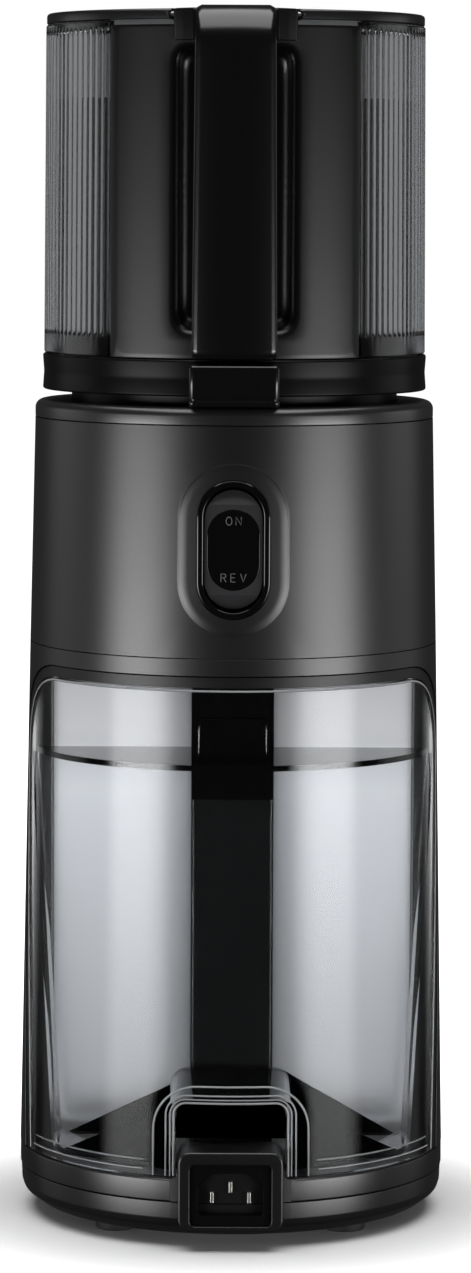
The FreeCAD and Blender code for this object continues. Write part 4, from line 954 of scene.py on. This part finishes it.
def make_stage():
    """Pale flat floor: a square of 40 metres that glows white away from the juicer. Towards the juicer's
    foot the glow fades out, a painted shade round it that deepens the real shadow of the top lamp.
    """
    reach = 20.0
    mat = bpy.data.materials.new("pale floor")
    mat.use_nodes = True
    n, link = mat.node_tree.nodes, mat.node_tree.links.new
    shader = n["Principled BSDF"]
    set_sockets(shader, {"Base Color": (0.9, 0.9, 0.9, 1), "Roughness": 0.8, "Specular IOR Level": 0.0,
                         "Emission Strength": 1.0})
    place, far = added(n, "TexCoord VectorMath")
    far.operation = "LENGTH"
    # Emission rises from none near the juicer to full further out: painted shade round its foot.
    rise = span_node(n, 0.085, 0.19, kind="SMOOTHSTEP")
    link(place.outputs["Object"], far.inputs[0])
    link(far.outputs["Value"], rise.inputs["Value"])
    link(rise.outputs["Result"], shader.inputs["Emission Color"])
    mat.cycles.emission_sampling = "NONE"
    floor = stage_sheet("studio_floor", [[(x, y, 0.0) for x in (-reach, reach)] for y in (-reach, reach)],
                        mat)
    floor.visible_glossy = floor.visible_diffuse = floor.visible_shadow = floor.visible_transmission = False


def glow_panel(name, azimuth, distance, width, levels):
    """Upright light panel that faces the juicer: its brightness follows (height, radiance) levels."""
    a = math.radians(azimuth)
    centre = np.array([distance * math.sin(a), -distance * math.cos(a)])
    side = np.array([math.cos(a), math.sin(a)]) * width / 2
    low, high = levels[0][0], levels[-1][0]
    grid = [[[*(centre + side * s), z] for s in (1, -1)] for z in (low, high)]
    mat = bpy.data.materials.new(name)
    mat.use_nodes = True
    n, link = mat.node_tree.nodes, mat.node_tree.links.new
    n.clear()
    glow, end = added(n, "Emission OutputMaterial")
    place, across, size, blend = added(n, "TexCoord VectorMath Math VectorMath")
    peak = max(v for _, v in levels)
    upward = height_ramp(n, link, [(z, v / peak) for z, v in levels])
    across.operation = "DOT_PRODUCT"
    across.inputs[1].default_value = (math.cos(a), math.sin(a), 0)
    fade = span_node(n, width * 0.5, width * 0.2, kind="SMOOTHSTEP")
    size.operation, blend.operation = "ABSOLUTE", "SCALE"
    link(place.outputs["Object"], across.inputs[0])
    link(across.outputs["Value"], size.inputs[0])
    link(size.outputs[0], fade.inputs["Value"])
    link(upward, blend.inputs[0])
    link(fade.outputs["Result"], blend.inputs["Scale"])
    link(blend.outputs[0], glow.inputs["Color"])
    glow.inputs["Strength"].default_value = peak
    link(glow.outputs[0], end.inputs["Surface"])
    panel = stage_sheet(name, grid, mat)
    panel.visible_camera = False
    panel.visible_shadow = False


def make_light():
    world = bpy.data.worlds.new("studio")
    bpy.context.scene.world = world
    world.use_nodes = True
    n, link = world.node_tree.nodes, world.node_tree.links.new
    dark = n["Background"]
    dark.inputs["Color"].default_value = (1, 1, 1, 1)
    dark.inputs["Strength"].default_value = 0.035
    white, mix, ray, most = added(n, "Background MixShader LightPath Math")
    white.inputs["Color"].default_value = (1, 1, 1, 1)
    white.inputs["Strength"].default_value = 1.0
    most.operation = "MAXIMUM"
    where, split, through = added(n, "TexCoord SeparateXYZ Math")
    through.operation = "MULTIPLY"
    behind = span_node(n, 0.75, 0.95)
    link(where.outputs["Generated"], split.inputs[0])
    link(split.outputs["Y"], behind.inputs["Value"])
    link(behind.outputs["Result"], through.inputs[0])
    link(ray.outputs["Is Transmission Ray"], through.inputs[1])
    link(ray.outputs["Is Camera Ray"], most.inputs[0])
    link(through.outputs[0], most.inputs[1])
    link(most.outputs[0], mix.inputs["Fac"])
    link(dark.outputs[0], mix.inputs[1])
    link(white.outputs[0], mix.inputs[2])
    link(mix.outputs[0], n["World Output"].inputs["Surface"])
    sides = [(-0.57, 0.6), (-0.3, 2.4), (-0.12, 5.6), (0.02, 9.4), (0.2, 9.4), (0.25, 0.3)]
    glow_panel("left_panel", -53, 1.35, 1.15, sides)
    glow_panel("right_panel", 53, 1.35, 1.15, sides)
    flanks = [(-0.5, 0.15), (0.2, 0.4), (0.3, 0.7), (0.64, 0.7), (0.72, 0.1)]
    glow_panel("left_flank", -108, 1.35, 1.1, flanks)
    glow_panel("right_flank", 108, 1.35, 1.1, flanks)
    lamp = bpy.data.lights.new("top_box", "AREA")
    lamp.shape, lamp.size, lamp.size_y, lamp.energy = "RECTANGLE", 3.0, 3.0, 90
    light = bpy.data.objects.new("top_box", lamp)
    light.location = (0, -0.2, 2.6)
    bpy.context.collection.objects.link(light)


def make_camera():
    lens = bpy.data.cameras.new("front_camera")
    lens.lens, lens.sensor_width, lens.clip_end = 127.64, 36.0, 50
    camera = bpy.data.objects.new("front_camera", lens)
    place, pitch, roll = (0.0009, -1.7515, 0.3982), math.radians(84.3304), math.radians(0.27)
    camera.matrix_world = (Matrix.Translation(place) @ Matrix.Rotation(pitch, 4, "X")
                           @ Matrix.Rotation(roll, 4, "Z"))
    bpy.context.collection.objects.link(camera)
    bpy.context.scene.camera = camera


make_stage()
make_light()
make_camera()
bpy.context.scene.view_settings.view_transform = "Standard"
bpy.context.view_layer.update()
